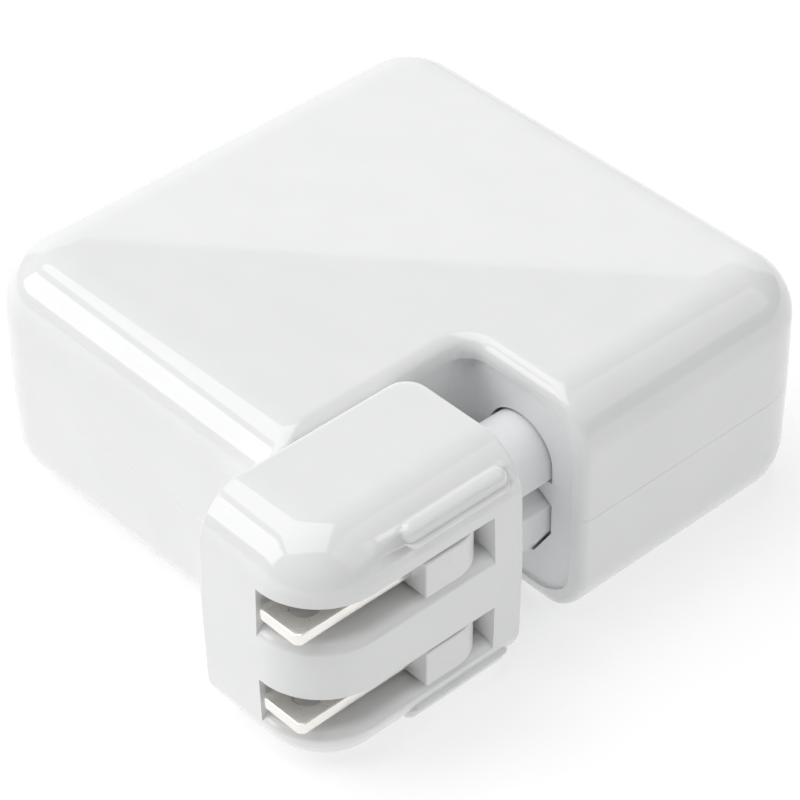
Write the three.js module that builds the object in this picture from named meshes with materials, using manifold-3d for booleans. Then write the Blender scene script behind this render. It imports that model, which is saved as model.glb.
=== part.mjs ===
// A laptop power adapter: a square brick with rounded edges, and a plug head that pulls out of a
// notch in one corner. Two mains blades fold out of the plug head.
// Millimetres, +Z up. The origin is the middle of the brick's bottom face. +X is the side that meets
// the wall outlet, and the plug head slides out towards -Y.

import * as THREE from "three";
import { mergeVertices } from "three/addons/utils/BufferGeometryUtils.js";
import Module from "manifold-3d";

const wasm = await Module();
wasm.setup();

// ---------------------------------------------------------------- driving dimensions

// Brick
const BRICK_X = 68.0;
const BRICK_Y = 67.4;
const BRICK_Z = 31.3;
const CORNER_R = 8.5; // upright corners, seen from above
const EDGE_R = 7.1; // edges between the sides and the top or bottom
const SHELL_WALL = 2.0;
const GAP = 0.3; // between two pieces that touch
const LIP = 1.5; // chamfer round the notch's top and bottom edges

// Notch for the plug head, measured in from the +X and -Y sides
const NOTCH_WIDTH = 18.3;
const NOTCH_LENGTH = 29.9;
const NOTCH_R = 3.0;
const PULLED_OUT = 8.9; // how far the plug head stands out of its seat

// Mains inlet and the nose that enters it
const PIN_SPACING = 8.6;
const PIN_D = 2.4;
const PIN_LENGTH = 9.0; // the free length inside the socket
const INLET_FROM_SIDE = 10.3; // inlet centre, in from the +X side
const WINDOW_RIM = 3.0; // shell left round the opening in front of the inlet
const WINDOW_R = 5.0;
const FLANGE_OVERLAP = 0.5; // how far the inlet's flange reaches past that opening
const SOCKET_DEPTH = 12.5;
const SOCKET_WALL = 1.8;
const NOSE_R = 4.6; // half width of the nose
const NOSE_CLEARANCE = 0.5;
const NOSE_LENGTH = 14.0;

// Ground stud on the notch's side wall
const STUD_FROM_SEAT = 12.2; // in front of the notch's end wall
const STUD_HEAD_R = 4.5;
const STUD_HEAD_THICK = 1.0;
const STUD_NECK_R = 2.5;
const STUD_TAIL_R = 1.5;
const STUD_CLEARANCE = 0.4;

// Plug head
const HEAD_SIDE_WALL = 1.2; // the wall that runs along the stud
const POCKET_WALL = 1.2;
const COVER_THICK = 2.0;
const RIDGE_LENGTH = 14.9; // finger ridges on the rounded edges
const RIDGE_R = 1.35;
const RIDGE_FROM_END = 1.3;
const RIDGE_SUNK = 0.5; // its centre line, under the rounded surface
const RIDGE_LEAN = 0.92; // radians round the edge, from the top or bottom face

// Blades and their hinge
const BLADE_SPACING = 12.7;
const BLADE_WIDTH = 6.35;
const BLADE_THICK = 1.5;
const BLADE_REACH = 20.2; // from the hinge to the tip
const BLADE_HOLE_R = 1.6;
const BLADE_HOLE_FROM_TIP = 3.7;
const BLADE_TIP_CHAMFER = 0.6;
const SLOT_HEIGHT = 5.35;
const BLADE_FROM_FACE = 2.25; // a folded blade's edge, in from the outlet face
const BLADE_SIDE_CLEARANCE = 0.6; // behind a folded blade
const HUB_FACE_SETBACK = 0.2; // the hub's left face sits this much under the outlet face when opened
const HUB_HEIGHT = 4.75;
const HUB_R = 4.8;
const HUB_CLEARANCE = 0.4;
const SLOT_END_CLEARANCE = 0.5;
const CONTACT_ROOM = 3.0; // behind the plug head's end face, for the cover and the contact strips
const HINGE_PIN_R = 1.6;
const STRIP_HEIGHT = 1.8; // contact strips

// Output port, a flat oval receptacle
const PORT_WIDTH = 8.94;
const PORT_HEIGHT = 3.26;
const PORT_LENGTH = 7.3;
const PORT_SHEET = 0.3;
const PORT_RECESS = 0.4;
const PORT_BOARD_THICK = 1.0;

// Circuit board and its shields
const BOARD_EDGE = 1.5; // clear of the shell
const BOARD_THICK = 1.6;
const BOARD_R = 7.0;
const POST_R = 2.0;
const POST_INSET = 9.0; // board posts, in from the brick's sides
const SPREADER_THICK = 0.5;
const SHEET_THICK = 0.3;
const SOLDER_SPACE = 1.2; // under the board

// ---------------------------------------------------------------- places worked out from them

const right = BRICK_X / 2;
const left = -right;
const back = BRICK_Y / 2;
const front = -back;
const midZ = BRICK_Z / 2;
const notchX = right - NOTCH_WIDTH; // the notch's side wall
const notchY = front + NOTCH_LENGTH; // the notch's end wall
const inletX = right - INLET_FROM_SIDE;
const pinZ = [midZ + PIN_SPACING / 2, midZ - PIN_SPACING / 2];
const bladeZ = [midZ + BLADE_SPACING / 2, midZ - BLADE_SPACING / 2];
const stripZ = [(pinZ[0] + bladeZ[0]) / 2, (pinZ[1] + bladeZ[1]) / 2];
const level = ["upper", "lower"];
const studY = notchY - STUD_FROM_SEAT;
const seatY = notchY - GAP; // the plug head's end face when it is pushed home
const columnX = notchX + NOTCH_R; // the solid corner of the plug head's end
const hingeX = right - HUB_R;
const bladeX1 = right - BLADE_FROM_FACE;
const bladeX0 = bladeX1 - BLADE_WIDTH;
const pocketX = bladeX0 - BLADE_SIDE_CLEARANCE;
const rotorBackX = Math.min(pocketX, hingeX - HUB_R - HUB_CLEARANCE) - POCKET_WALL;
const hingeY = seatY - CONTACT_ROOM - POCKET_WALL - SLOT_END_CLEARANCE - HUB_R;
const inletFaceY = notchY + SHELL_WALL + GAP;
const socketEndY = inletFaceY + SOCKET_DEPTH;
const inletBackY = socketEndY + SOCKET_WALL;
const boardHalfX = right - SHELL_WALL - BOARD_EDGE;
const boardHalfY = back - SHELL_WALL - BOARD_EDGE;
const lowerSpreaderZ = SHELL_WALL + GAP;
const sheetZ = lowerSpreaderZ + SPREADER_THICK + GAP;
const boardZ = sheetZ + SHEET_THICK + SOLDER_SPACE;
const boardTop = boardZ + BOARD_THICK;
const onBoard = boardTop + GAP;
const upperSpreaderZ = BRICK_Z - SHELL_WALL - GAP - SPREADER_THICK;
const roomTop = upperSpreaderZ - GAP; // parts on the board stay under this

// ---------------------------------------------------------------- finishes

const finishes = {
  gloss_white: { color: 0xf1f2f2, roughness: 0.18, metalness: 0 },
  satin_white: { color: 0xe6e9ec, roughness: 0.42, metalness: 0 },
  inlet_plastic: { color: 0xcfd4da, roughness: 0.5, metalness: 0 },
  nickel: { color: 0xcfcac0, roughness: 0.26, metalness: 1 },
  steel: { color: 0xb9bbbd, roughness: 0.32, metalness: 1 },
  brass: { color: 0xcda75c, roughness: 0.3, metalness: 1 },
  copper: { color: 0xb86f42, roughness: 0.35, metalness: 1 },
  aluminium: { color: 0xc9cbce, roughness: 0.4, metalness: 1 },
  board_green: { color: 0x1f5b3a, roughness: 0.45, metalness: 0 },
  ferrite: { color: 0x2b2c2e, roughness: 0.7, metalness: 0 },
  black_epoxy: { color: 0x1b1c1e, roughness: 0.5, metalness: 0 },
  yellow_tape: { color: 0xd9b53a, roughness: 0.4, metalness: 0 },
  sleeve_black: { color: 0x25262b, roughness: 0.35, metalness: 0 },
  film_box: { color: 0xc7b56a, roughness: 0.45, metalness: 0 },
  ceramic_blue: { color: 0x3a6ea8, roughness: 0.4, metalness: 0 },
  fish_paper: { color: 0xd8d4c4, roughness: 0.8, metalness: 0 },
  wire_white: { color: 0xe4e4e0, roughness: 0.5, metalness: 0 },
};

// ---------------------------------------------------------------- making and cutting solids

// A closed three.js geometry as a solid that can be joined and cut.
function solid(geometry) {
  const bare = geometry.clone();
  bare.deleteAttribute("normal");
  bare.deleteAttribute("uv");
  const merged = mergeVertices(bare, 1e-4);
  return new wasm.Manifold(
    new wasm.Mesh({
      numProp: 3,
      vertProperties: merged.attributes.position.array,
      triVerts: new Uint32Array(merged.index.array),
    }),
  );
}

// The solid as a three.js geometry again.
function geometryOf(body) {
  const mesh = body.getMesh();
  const geometry = new THREE.BufferGeometry();
  geometry.setAttribute("position", new THREE.BufferAttribute(mesh.vertProperties, 3));
  geometry.setIndex(new THREE.BufferAttribute(mesh.triVerts, 1));
  return geometry;
}

// A named piece with its own material.
function piece(name, body, finish) {
  const mesh = new THREE.Mesh(geometryOf(body), new THREE.MeshStandardMaterial(finishes[finish]));
  mesh.name = name;
  return mesh;
}

function group(...pieces) {
  const made = new THREE.Group();
  made.add(...pieces.flat());
  return made;
}

// A box from its two ends along each axis.
function box(x0, x1, y0, y1, z0, z1) {
  const geometry = new THREE.BoxGeometry(x1 - x0, y1 - y0, z1 - z0);
  return solid(geometry.translate((x0 + x1) / 2, (y0 + y1) / 2, (z0 + z1) / 2));
}

// A rectangle with round corners, as an outline.
function roundedRectangle(x0, x1, y0, y1, r) {
  const outline = new THREE.Shape();
  outline.moveTo(x1, y0 + r);
  outline.lineTo(x1, y1 - r);
  outline.absarc(x1 - r, y1 - r, r, 0, Math.PI / 2);
  outline.lineTo(x0 + r, y1);
  outline.absarc(x0 + r, y1 - r, r, Math.PI / 2, Math.PI);
  outline.lineTo(x0, y0 + r);
  outline.absarc(x0 + r, y0 + r, r, Math.PI, 1.5 * Math.PI);
  outline.lineTo(x1 - r, y0);
  outline.absarc(x1 - r, y0 + r, r, 1.5 * Math.PI, 2 * Math.PI);
  return outline;
}

// An outline in the XY plane, raised from z0 to z1.
function raised(outline, z0, z1, curveSegments = 6) {
  const geometry = new THREE.ExtrudeGeometry(outline, {
    depth: z1 - z0,
    bevelEnabled: false,
    curveSegments,
  });
  return solid(geometry.translate(0, 0, z0));
}

// An outline drawn in X and Z, carried along Y from y0 to y1.
function alongY(outline, y0, y1, curveSegments = 6) {
  const geometry = new THREE.ExtrudeGeometry(outline, {
    depth: y1 - y0,
    bevelEnabled: false,
    curveSegments,
  });
  return solid(geometry.rotateX(Math.PI / 2).translate(0, y1, 0));
}

// An outline drawn in Y and Z, carried along X from x0 to x1.
function alongX(outline, x0, x1, curveSegments = 6) {
  const geometry = new THREE.ExtrudeGeometry(outline, {
    depth: x1 - x0,
    bevelEnabled: false,
    curveSegments,
  });
  const turn = new THREE.Matrix4().makeBasis(
    new THREE.Vector3(0, 1, 0),
    new THREE.Vector3(0, 0, 1),
    new THREE.Vector3(1, 0, 0),
  );
  return solid(geometry.applyMatrix4(turn).translate(x0, 0, 0));
}

// A body turned on a lathe: the profile is [radius, distance along the axis] from end to end.
function turned(profile, segments = 20) {
  const points = profile.map(([r, h]) => new THREE.Vector2(r, h));
  return new THREE.LatheGeometry(points, segments);
}

// The same, with its axis laid along Z, Y or X and its start at the point given.
const aboutZ = (profile, x, y, z, n) => solid(turned(profile, n).rotateX(Math.PI / 2).translate(x, y, z));
const aboutY = (profile, x, y, z, n) => solid(turned(profile, n).translate(x, y, z));
const aboutX = (profile, x, y, z, n) => solid(turned(profile, n).rotateZ(-Math.PI / 2).translate(x, y, z));

// The profile of a plain rod, and of a rod with rounded or chamfered ends.
const rod = (r, length) => [[0, 0], [r, 0], [r, length], [0, length]];
const easedRod = (r, length, ease) => [
  [0, 0],
  [r - ease, 0],
  [r, ease],
  [r, length - ease],
  [r - ease, length],
  [0, length],
];

// ---------------------------------------------------------------- the brick's outer shape

// The brick's rounded block, or the same block drawn in by an inset all over.
function roundedBlock(inset) {
  const edge = EDGE_R - inset;
  const outline = roundedRectangle(
    left + inset,
    right - inset,
    front + inset,
    back - inset,
    CORNER_R - inset,
  );
  const geometry = new THREE.ExtrudeGeometry(outline, {
    depth: BRICK_Z - 2 * EDGE_R,
    bevelThickness: edge,
    bevelSize: edge,
    bevelOffset: -edge,
    bevelSegments: 5,
    curveSegments: 6,
  });
  return solid(geometry.translate(0, 0, EDGE_R));
}

// The notch's outline, grown outwards by some amount. Its far sides lie outside the brick.
function notchOutline(grow) {
  const beyond = BRICK_X + BRICK_Y;
  return roundedRectangle(
    notchX - grow,
    notchX + beyond,
    notchY - beyond,
    notchY + grow,
    NOTCH_R + grow,
  );
}

const notch = raised(notchOutline(0), -1, BRICK_Z + 1, 4);

// A block that chamfers the notch's edge: it flares over the height LIP at each of its ends.
function notchFlare(z) {
  const geometry = new THREE.ExtrudeGeometry(notchOutline(0), {
    depth: LIP,
    bevelThickness: LIP,
    bevelSize: LIP,
    bevelSegments: 1,
    curveSegments: 4,
  });
  return solid(geometry.translate(0, 0, z));
}

const notchWithLips = notch.add(notchFlare(BRICK_Z)).add(notchFlare(-LIP));

// Everything between the shells' walls.
const cavity = roundedBlock(SHELL_WALL).subtract(raised(notchOutline(SHELL_WALL), 0, BRICK_Z, 4));

// An oval drawn in Y and Z, grown by some amount.
const portOutline = (grow) =>
  roundedRectangle(
    -PORT_WIDTH / 2 - grow,
    PORT_WIDTH / 2 + grow,
    midZ - PORT_HEIGHT / 2 - grow,
    midZ + PORT_HEIGHT / 2 + grow,
    PORT_HEIGHT / 2 + grow - 0.01,
  );

// The opening in front of the mains inlet, drawn in X and Z, grown by some amount.
function windowOutline(grow) {
  const halfWidth = right - WINDOW_RIM - inletX;
  return roundedRectangle(
    inletX - halfWidth - grow,
    inletX + halfWidth + grow,
    WINDOW_RIM - grow,
    BRICK_Z - WINDOW_RIM + grow,
    WINDOW_R + grow,
  );
}

// The nose's section, drawn in X and Z: a round lobe over a chamfered one, grown by some amount.
function noseOutline(grow) {
  const lobe = PIN_SPACING / 2;
  const side = NOSE_R + grow;
  const waist = NOSE_R * 0.4 + grow;
  const underside = lobe - NOSE_R * 0.41 - grow;
  const shoulder = -lobe + NOSE_R * 0.67 + grow * 0.5;
  const bevelEnd = -lobe - NOSE_R * 0.13 - grow * 0.5;
  const foot = NOSE_R * 0.48 + grow * 0.5;
  const bottom = -lobe - NOSE_R - grow;
  const outline = new THREE.Shape();
  outline.moveTo(inletX + side, midZ + underside);
  outline.lineTo(inletX + side, midZ + lobe);
  outline.absarc(inletX, midZ + lobe, side, 0, Math.PI);
  outline.lineTo(inletX - side, midZ + underside);
  outline.lineTo(inletX - waist, midZ + underside);
  outline.lineTo(inletX - waist, midZ + shoulder + (side - waist) * 0.65);
  outline.lineTo(inletX - side, midZ + shoulder);
  outline.lineTo(inletX - side, midZ + bevelEnd);
  outline.lineTo(inletX - foot, midZ + bottom);
  outline.lineTo(inletX + foot, midZ + bottom);
  outline.lineTo(inletX + side, midZ + bevelEnd);
  outline.lineTo(inletX + side, midZ + shoulder);
  outline.lineTo(inletX + waist, midZ + shoulder + (side - waist) * 0.65);
  outline.lineTo(inletX + waist, midZ + underside);
  return outline;
}

// ---------------------------------------------------------------- the brick's shells

// Four posts under the board. One stands beside the notch, where there is no corner.
const postPlaces = [
  [left + POST_INSET, front + POST_INSET],
  [left + POST_INSET, back - POST_INSET],
  [right - POST_INSET, back - POST_INSET],
  [notchX - SHELL_WALL - POST_R - BOARD_EDGE, front + POST_INSET],
];

function shell(z0, z1) {
  const half = box(left - 1, right + 1, front - 1, back + 1, z0, z1);
  const wall = roundedBlock(0).subtract(notchWithLips).subtract(cavity);
  const inletWindow = alongY(windowOutline(0), notchY - 1, notchY + SHELL_WALL + 1, 4);
  const port = alongX(portOutline(GAP), left - 1, left + SHELL_WALL + 1, 5);
  const studHole = aboutX(rod(STUD_TAIL_R + GAP, 2 * SHELL_WALL + 2), notchX - SHELL_WALL - 2, studY, midZ);
  return wall.intersect(half).subtract(inletWindow).subtract(port).subtract(studHole);
}

function shells() {
  const upper = shell(midZ + GAP / 2, BRICK_Z + 1);
  let lower = shell(-1, midZ - GAP / 2);
  for (const [x, y] of postPlaces) {
    const height = boardZ - GAP - SHELL_WALL / 2;
    lower = lower.add(aboutZ(rod(POST_R, height), x, y, SHELL_WALL / 2, 12));
  }
  return group(
    piece("upper_shell", upper, "gloss_white"),
    piece("lower_shell", lower, "gloss_white"),
  );
}

// ---------------------------------------------------------------- mains inlet

function mainsInlet() {
  const flange = alongY(windowOutline(FLANGE_OVERLAP), inletFaceY, inletFaceY + SOCKET_WALL, 5);
  const halfWidth = NOSE_R + NOSE_CLEARANCE + SOCKET_WALL;
  const halfHeight = PIN_SPACING / 2 + NOSE_R + NOSE_CLEARANCE + SOCKET_WALL;
  const body = alongY(
    roundedRectangle(inletX - halfWidth, inletX + halfWidth, midZ - halfHeight, midZ + halfHeight, 3),
    inletFaceY + SOCKET_WALL / 2,
    inletBackY,
    3,
  );
  const noseRoom = alongY(noseOutline(NOSE_CLEARANCE), inletFaceY - 1, socketEndY, 10);
  let housing = flange.add(body).subtract(noseRoom);
  const pins = [];
  const tail = 0.6;
  const length = PIN_LENGTH + SOCKET_WALL + tail;
  const r = PIN_D / 2;
  pinZ.forEach((z, i) => {
    const y = socketEndY - PIN_LENGTH;
    housing = housing.subtract(aboutY(rod(r + GAP, SOCKET_WALL + 2), inletX, socketEndY - 1, z, 16));
    const profile = [[0, 0], [r * 0.5, r * 0.13], [r * 0.87, r * 0.5], [r, r], [r, length], [0, length]];
    pins.push(piece(`inlet_pin_${level[i]}`, aboutY(profile, inletX, y, z, 16), "nickel"));
  });
  return group(piece("inlet_housing", housing, "inlet_plastic"), pins);
}

// An insulated lead from each pin's tail, sideways and down to the board.
function inletLeads() {
  const r = 0.8;
  const y = inletBackY + 0.6 + GAP + r;
  return pinZ.map((z, i) => {
    const footX = inletX - 8.9 + 2.2 * i;
    const bend = 1.6;
    const path = new THREE.CurvePath();
    const corner = new THREE.Vector3(footX, y, z);
    const start = new THREE.Vector3(inletX + 1, y, z);
    const bendStart = new THREE.Vector3(footX + bend, y, z);
    path.add(new THREE.LineCurve3(start, bendStart));
    path.add(
      new THREE.QuadraticBezierCurve3(
        new THREE.Vector3(footX + bend, y, z),
        corner,
        new THREE.Vector3(footX, y, z - bend),
      ),
    );
    const bendEnd = new THREE.Vector3(footX, y, z - bend);
    const foot = new THREE.Vector3(footX, y, onBoard);
    path.add(new THREE.LineCurve3(bendEnd, foot));
    const section = new THREE.Shape();
    section.absarc(0, 0, r, 0, 2 * Math.PI);
    const geometry = new THREE.ExtrudeGeometry(section, { steps: 14, curveSegments: 4, extrudePath: path });
    return piece(`inlet_lead_${level[i]}`, solid(geometry), "wire_white");
  });
}

// ---------------------------------------------------------------- ground stud

function groundStud() {
  const neckStart = notchX + GAP;
  const neckEnd = notchX + GAP + HEAD_SIDE_WALL + GAP;
  const tailLength = neckStart - (notchX - SHELL_WALL - 3.6);
  const total = tailLength + neckEnd - neckStart + STUD_HEAD_THICK;
  const stud = aboutX(
    [
      [0, 0],
      [STUD_TAIL_R - 0.3, 0],
      [STUD_TAIL_R, 0.3],
      [STUD_TAIL_R, tailLength],
      [STUD_NECK_R, tailLength],
      [STUD_NECK_R, total - STUD_HEAD_THICK],
      [STUD_HEAD_R, total - STUD_HEAD_THICK],
      [STUD_HEAD_R, total - 0.3],
      [STUD_HEAD_R - 0.4, total],
      [0, total],
    ],
    neckStart - tailLength,
    studY,
    midZ,
  );
  const nutThick = 2.0;
  const nutX = notchX - SHELL_WALL - GAP - nutThick;
  const nut = aboutX(rod(3.2, nutThick), nutX, studY, midZ, 6);
  const nutHole = aboutX(rod(STUD_TAIL_R + GAP, nutThick + 2), nutX - 1, studY, midZ, 16);
  const strapX = nutX - GAP - 0.5;
  const strap = box(strapX, strapX + 0.5, studY - 2.6, studY + 2.6, onBoard, midZ + 3);
  const strapHole = aboutX(rod(STUD_TAIL_R + GAP, 3), strapX - 1, studY, midZ, 16);
  return group(
    piece("ground_stud", stud, "steel"),
    piece("stud_nut", nut.subtract(nutHole), "steel"),
    piece("ground_strap", strap.subtract(strapHole), "copper"),
  );
}

// ---------------------------------------------------------------- board and shields

// The plan of the board and shields: the brick's own, less the corner that holds the notch and the inlet.
function flatPart(halfX, halfY, r, z0, z1, clear) {
  const plate = raised(roundedRectangle(-halfX, halfX, -halfY, halfY, r), z0, z1, 4);
  const beyond = BRICK_X + BRICK_Y;
  const corner = box(notchX - SHELL_WALL - clear, beyond, -beyond, inletBackY + clear, z0 - 1, z1 + 1);
  return plate.subtract(corner);
}

function boardAndShields() {
  const clear = 0.6;
  const shieldX = right - EDGE_R;
  const shieldY = back - EDGE_R;
  const board = flatPart(boardHalfX, boardHalfY, BOARD_R, boardZ, boardTop, clear);
  let lowerSpreader = flatPart(shieldX, shieldY, 4, lowerSpreaderZ, lowerSpreaderZ + SPREADER_THICK, clear);
  let sheet = flatPart(shieldX, shieldY, 4, sheetZ, sheetZ + SHEET_THICK, clear);
  for (const [x, y] of postPlaces) {
    const hole = aboutZ(rod(POST_R + 2 * GAP, boardZ), x, y, 0, 12);
    lowerSpreader = lowerSpreader.subtract(hole);
    sheet = sheet.subtract(hole);
  }
  const spreaderTop = upperSpreaderZ + SPREADER_THICK;
  const upperSpreader = flatPart(shieldX, shieldY, 4, upperSpreaderZ, spreaderTop, clear);
  return group(
    piece("main_board", board, "board_green"),
    piece("insulating_sheet", sheet, "fish_paper"),
    piece("lower_heat_spreader", lowerSpreader, "aluminium"),
    piece("upper_heat_spreader", upperSpreader, "aluminium"),
  );
}

// ---------------------------------------------------------------- parts on the board

// A can capacitor's profile, with the crimped groove near its foot.
function canProfile(r, length) {
  return [
    [0, 0],
    [r - 0.5, 0],
    [r, 0.5],
    [r, 2],
    [r - 0.6, 2.5],
    [r, 3],
    [r, length - 0.6],
    [r - 0.6, length],
    [0, length],
  ];
}

// A coil of wire wound round a ring that lies flat, over an arc from one angle to another.
function ringWinding(x, y, z, ringR, wireR, loopR, loopZ, from, to, turns) {
  class Winding extends THREE.Curve {
    getPoint(t, target = new THREE.Vector3()) {
      const a = from + (to - from) * t;
      const b = 2 * Math.PI * turns * t;
      const r = ringR + loopR * Math.cos(b);
      return target.set(x + r * Math.cos(a), y + r * Math.sin(a), z + loopZ * Math.sin(b));
    }
  }
  const section = new THREE.Shape();
  section.absarc(0, 0, wireR, 0, 2 * Math.PI);
  const options = { steps: turns * 8, curveSegments: 3, extrudePath: new Winding() };
  return solid(new THREE.ExtrudeGeometry(section, options));
}

// The common-mode choke stands between the inlet and the rest of the board.
function choke() {
  const ringR = 5.0;
  const half = 1.3;
  const wireR = 0.45;
  const x = right - SHELL_WALL - 9.5;
  const y = back - SHELL_WALL - 8.7;
  const z = onBoard + half + 2 * wireR + GAP;
  const ring = [
    [ringR - half, -half],
    [ringR + half, -half],
    [ringR + half, half],
    [ringR - half, half],
    [ringR - half, -half],
  ];
  const loop = (half + GAP + wireR) * Math.SQRT2;
  const lift = z + loop - half - wireR;
  const wind = (from) =>
    ringWinding(x, y, lift, ringR, wireR, loop, loop, from, from + 2.3, 5);
  return group(
    piece("choke_core", aboutZ(ring, x, y, lift, 24), "ferrite"),
    piece("choke_winding_a", wind(0.4), "copper"),
    piece("choke_winding_b", wind(0.4 + Math.PI), "copper"),
  );
}

// Places along X that the larger parts share.
const secondSinkX = left + 17;
const sinkThick = 1.5;
const byNotchX = notchX - SHELL_WALL; // the inner face of the notch's side wall
const boostR = 7.2;
const switchThick = 2.6;
const boostX = byNotchX - 1.4 - boostR;
const mainSinkX = boostX - boostR - 2 * GAP - switchThick - GAP - sinkThick;

// The transformer: a ferrite frame with a centre leg, and the taped winding round that leg.
function transformer() {
  const x1 = byNotchX - 5.0; // room for the stud's nut and strap
  const x0 = secondSinkX + sinkThick + 0.6;
  const y0 = front + SHELL_WALL + 8;
  const y1 = y0 + 20;
  const z0 = onBoard;
  const z1 = Math.min(z0 + 20, roomTop);
  const leg = 4;
  const midX = (x0 + x1) / 2;
  const frame = box(x0, x1, y0 + 4, y1 - 4, z0, z1);
  const windows = box(x0 + leg, midX - leg, y0, y1, z0 + leg, z1 - leg).add(
    box(midX + leg, x1 - leg, y0, y1, z0 + leg, z1 - leg),
  );
  const core = frame.subtract(windows);
  const wound = raised(
    roundedRectangle(x0 + leg + GAP, x1 - leg - GAP, y0, y1, 3),
    z0 + leg + GAP,
    z1 - leg - GAP,
    3,
  );
  const legRoom = box(midX - leg - GAP, midX + leg + GAP, y0 + 4 - GAP, y1 - 4 + GAP, z0, z1);
  return group(
    piece("transformer_core", core, "ferrite"),
    piece("transformer_winding", wound.subtract(legRoom), "yellow_tape"),
  );
}

// The boost coil's pot core, slotted on two sides, with its winding inside.
function boostCoil() {
  const x = boostX;
  const y = notchY + 9.3;
  const height = 12;
  const r = boostR;
  const cup = aboutZ([[0, 0], [r, 0], [r, height], [0, height]], x, y, onBoard, 24);
  const room = aboutZ(
    [[2.6, 1.6], [r - 1.4, 1.6], [r - 1.4, height - 1.6], [2.6, height - 1.6], [2.6, 1.6]],
    x,
    y,
    onBoard,
    24,
  );
  const slot = box(x - r / 3, x + r / 3, y - r - 1, y + r + 1, onBoard + 1.6, onBoard + height - 1.6);
  const centre = aboutZ(rod(2.6, height - 2), x, y, onBoard + 1, 24);
  const winding = aboutZ(
    [[2.9, 1.9], [r - 1.7, 1.9], [r - 1.7, height - 1.9], [2.9, height - 1.9], [2.9, 1.9]],
    x,
    y,
    onBoard,
    24,
  );
  return group(
    piece("boost_coil_core", cup.subtract(room).subtract(slot).add(centre), "ferrite"),
    piece("boost_coil_winding", winding, "copper"),
  );
}

// A flat package with a metal tab, standing on its leads against a heat sink.
function standingPackage(x0, y0, y1, z0, thick) {
  const body = box(x0, x0 + thick, y0, y1, z0 + 4, z0 + 15);
  let made = body;
  for (let i = 0; i < 3; i += 1) {
    const y = y0 + ((y1 - y0) * (2 * i + 1)) / 6;
    made = made.add(box(x0 + thick / 2 - 0.3, x0 + thick / 2 + 0.3, y - 0.5, y + 0.5, z0, z0 + 4.5));
  }
  return made;
}

function heatSinksAndSwitches() {
  const sinkTop = Math.min(onBoard + 19, roomTop);
  const firstX = mainSinkX;
  const firstY = notchY + 2;
  const first = box(firstX, firstX + sinkThick, firstY, firstY + 15, onBoard, sinkTop);
  const bridgeThick = 3.4;
  const bridgeX = firstX - GAP - bridgeThick;
  const bridge = standingPackage(bridgeX, firstY + 6, firstY + 14.5, onBoard, bridgeThick);
  const switchX = firstX + sinkThick + GAP;
  const transistor = standingPackage(switchX, firstY, firstY + 5, onBoard, switchThick);
  const secondX = secondSinkX;
  const second = box(secondX, secondX + sinkThick, front + 6, front + 24, onBoard, sinkTop);
  const rectifierThick = 2.2;
  const rectifierX = secondX - GAP - rectifierThick;
  const rectifier = standingPackage(rectifierX, front + 12, front + 22, onBoard, rectifierThick);
  return group(
    piece("primary_heat_sink", first, "aluminium"),
    piece("bridge_rectifier", bridge, "black_epoxy"),
    piece("switch_transistor", transistor, "black_epoxy"),
    piece("secondary_heat_sink", second, "aluminium"),
    piece("output_rectifier", rectifier, "black_epoxy"),
  );
}

function capacitors() {
  const bulkR = 7.8;
  const bulkY = back - SHELL_WALL - GAP - bulkR - 0.6;
  const bulk = aboutX(canProfile(bulkR, 27), left + 6.5, bulkY, onBoard + bulkR, 20);
  const canR = 4.6;
  const made = [piece("bulk_capacitor", bulk, "sleeve_black")];
  for (let i = 0; i < 2; i += 1) {
    const y = front + 9.2 + i * (2 * canR + 0.8);
    const can = aboutZ(canProfile(canR, 17), left + 9.0, y, onBoard, 16);
    made.push(piece(`output_capacitor_${i + 1}`, can, "sleeve_black"));
  }
  const filterX = left + 6.5 + 27 + 1.2;
  const filter = raised(
    roundedRectangle(filterX, filterX + 6.5, back - 18, back - 4.5, 0.8),
    onBoard,
    onBoard + 12,
    2,
  );
  made.push(piece("filter_capacitor", filter, "film_box"));
  const discY = front + 5.0;
  const disc = aboutY(easedRod(3.6, 2.6, 0.7), left + 26, discY, onBoard + 5.0, 16);
  const legs = box(left + 23.6, left + 24.4, discY + 1, discY + 1.6, onBoard, onBoard + 3).add(
    box(left + 27.6, left + 28.4, discY + 1, discY + 1.6, onBoard, onBoard + 3),
  );
  made.push(piece("safety_capacitor", disc.add(legs), "ceramic_blue"));
  return made;
}

function smallParts() {
  const fuseX = left + 6.5 + 27 + 1.2 + 6.5 + 2.6;
  const fuse = aboutY(
    [[0, 0], [1.8, 0], [1.8, 2.4], [1.5, 2.7], [1.5, 9.3], [1.8, 9.6], [1.8, 12], [0, 12]],
    fuseX,
    back - 17,
    onBoard + 1.8,
    12,
  );
  const couplerX = left + 34;
  const couplerY = front + 5.2;
  const coupler = box(couplerX, couplerX + 4.6, couplerY, couplerY + 3.6, onBoard + 0.5, onBoard + 3.9);
  let feet = coupler;
  for (const x of [couplerX + 0.6, couplerX + 3.2]) {
    feet = feet.add(box(x, x + 0.8, couplerY - 0.6, couplerY + 4.2, onBoard, onBoard + 0.8));
  }
  const chipX = left + 5;
  let chip = box(chipX, chipX + 9.8, -2, 2, onBoard + 0.4, onBoard + 1.8);
  for (let i = 0; i < 7; i += 1) {
    const x = chipX + 0.8 + i * 1.27;
    chip = chip.add(box(x, x + 0.5, -3, 3, onBoard, onBoard + 0.7));
  }
  return group(
    piece("fuse", fuse, "ceramic_blue"),
    piece("optocoupler", feet, "black_epoxy"),
    piece("controller_chip", chip, "black_epoxy"),
  );
}

// ---------------------------------------------------------------- output port

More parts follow.
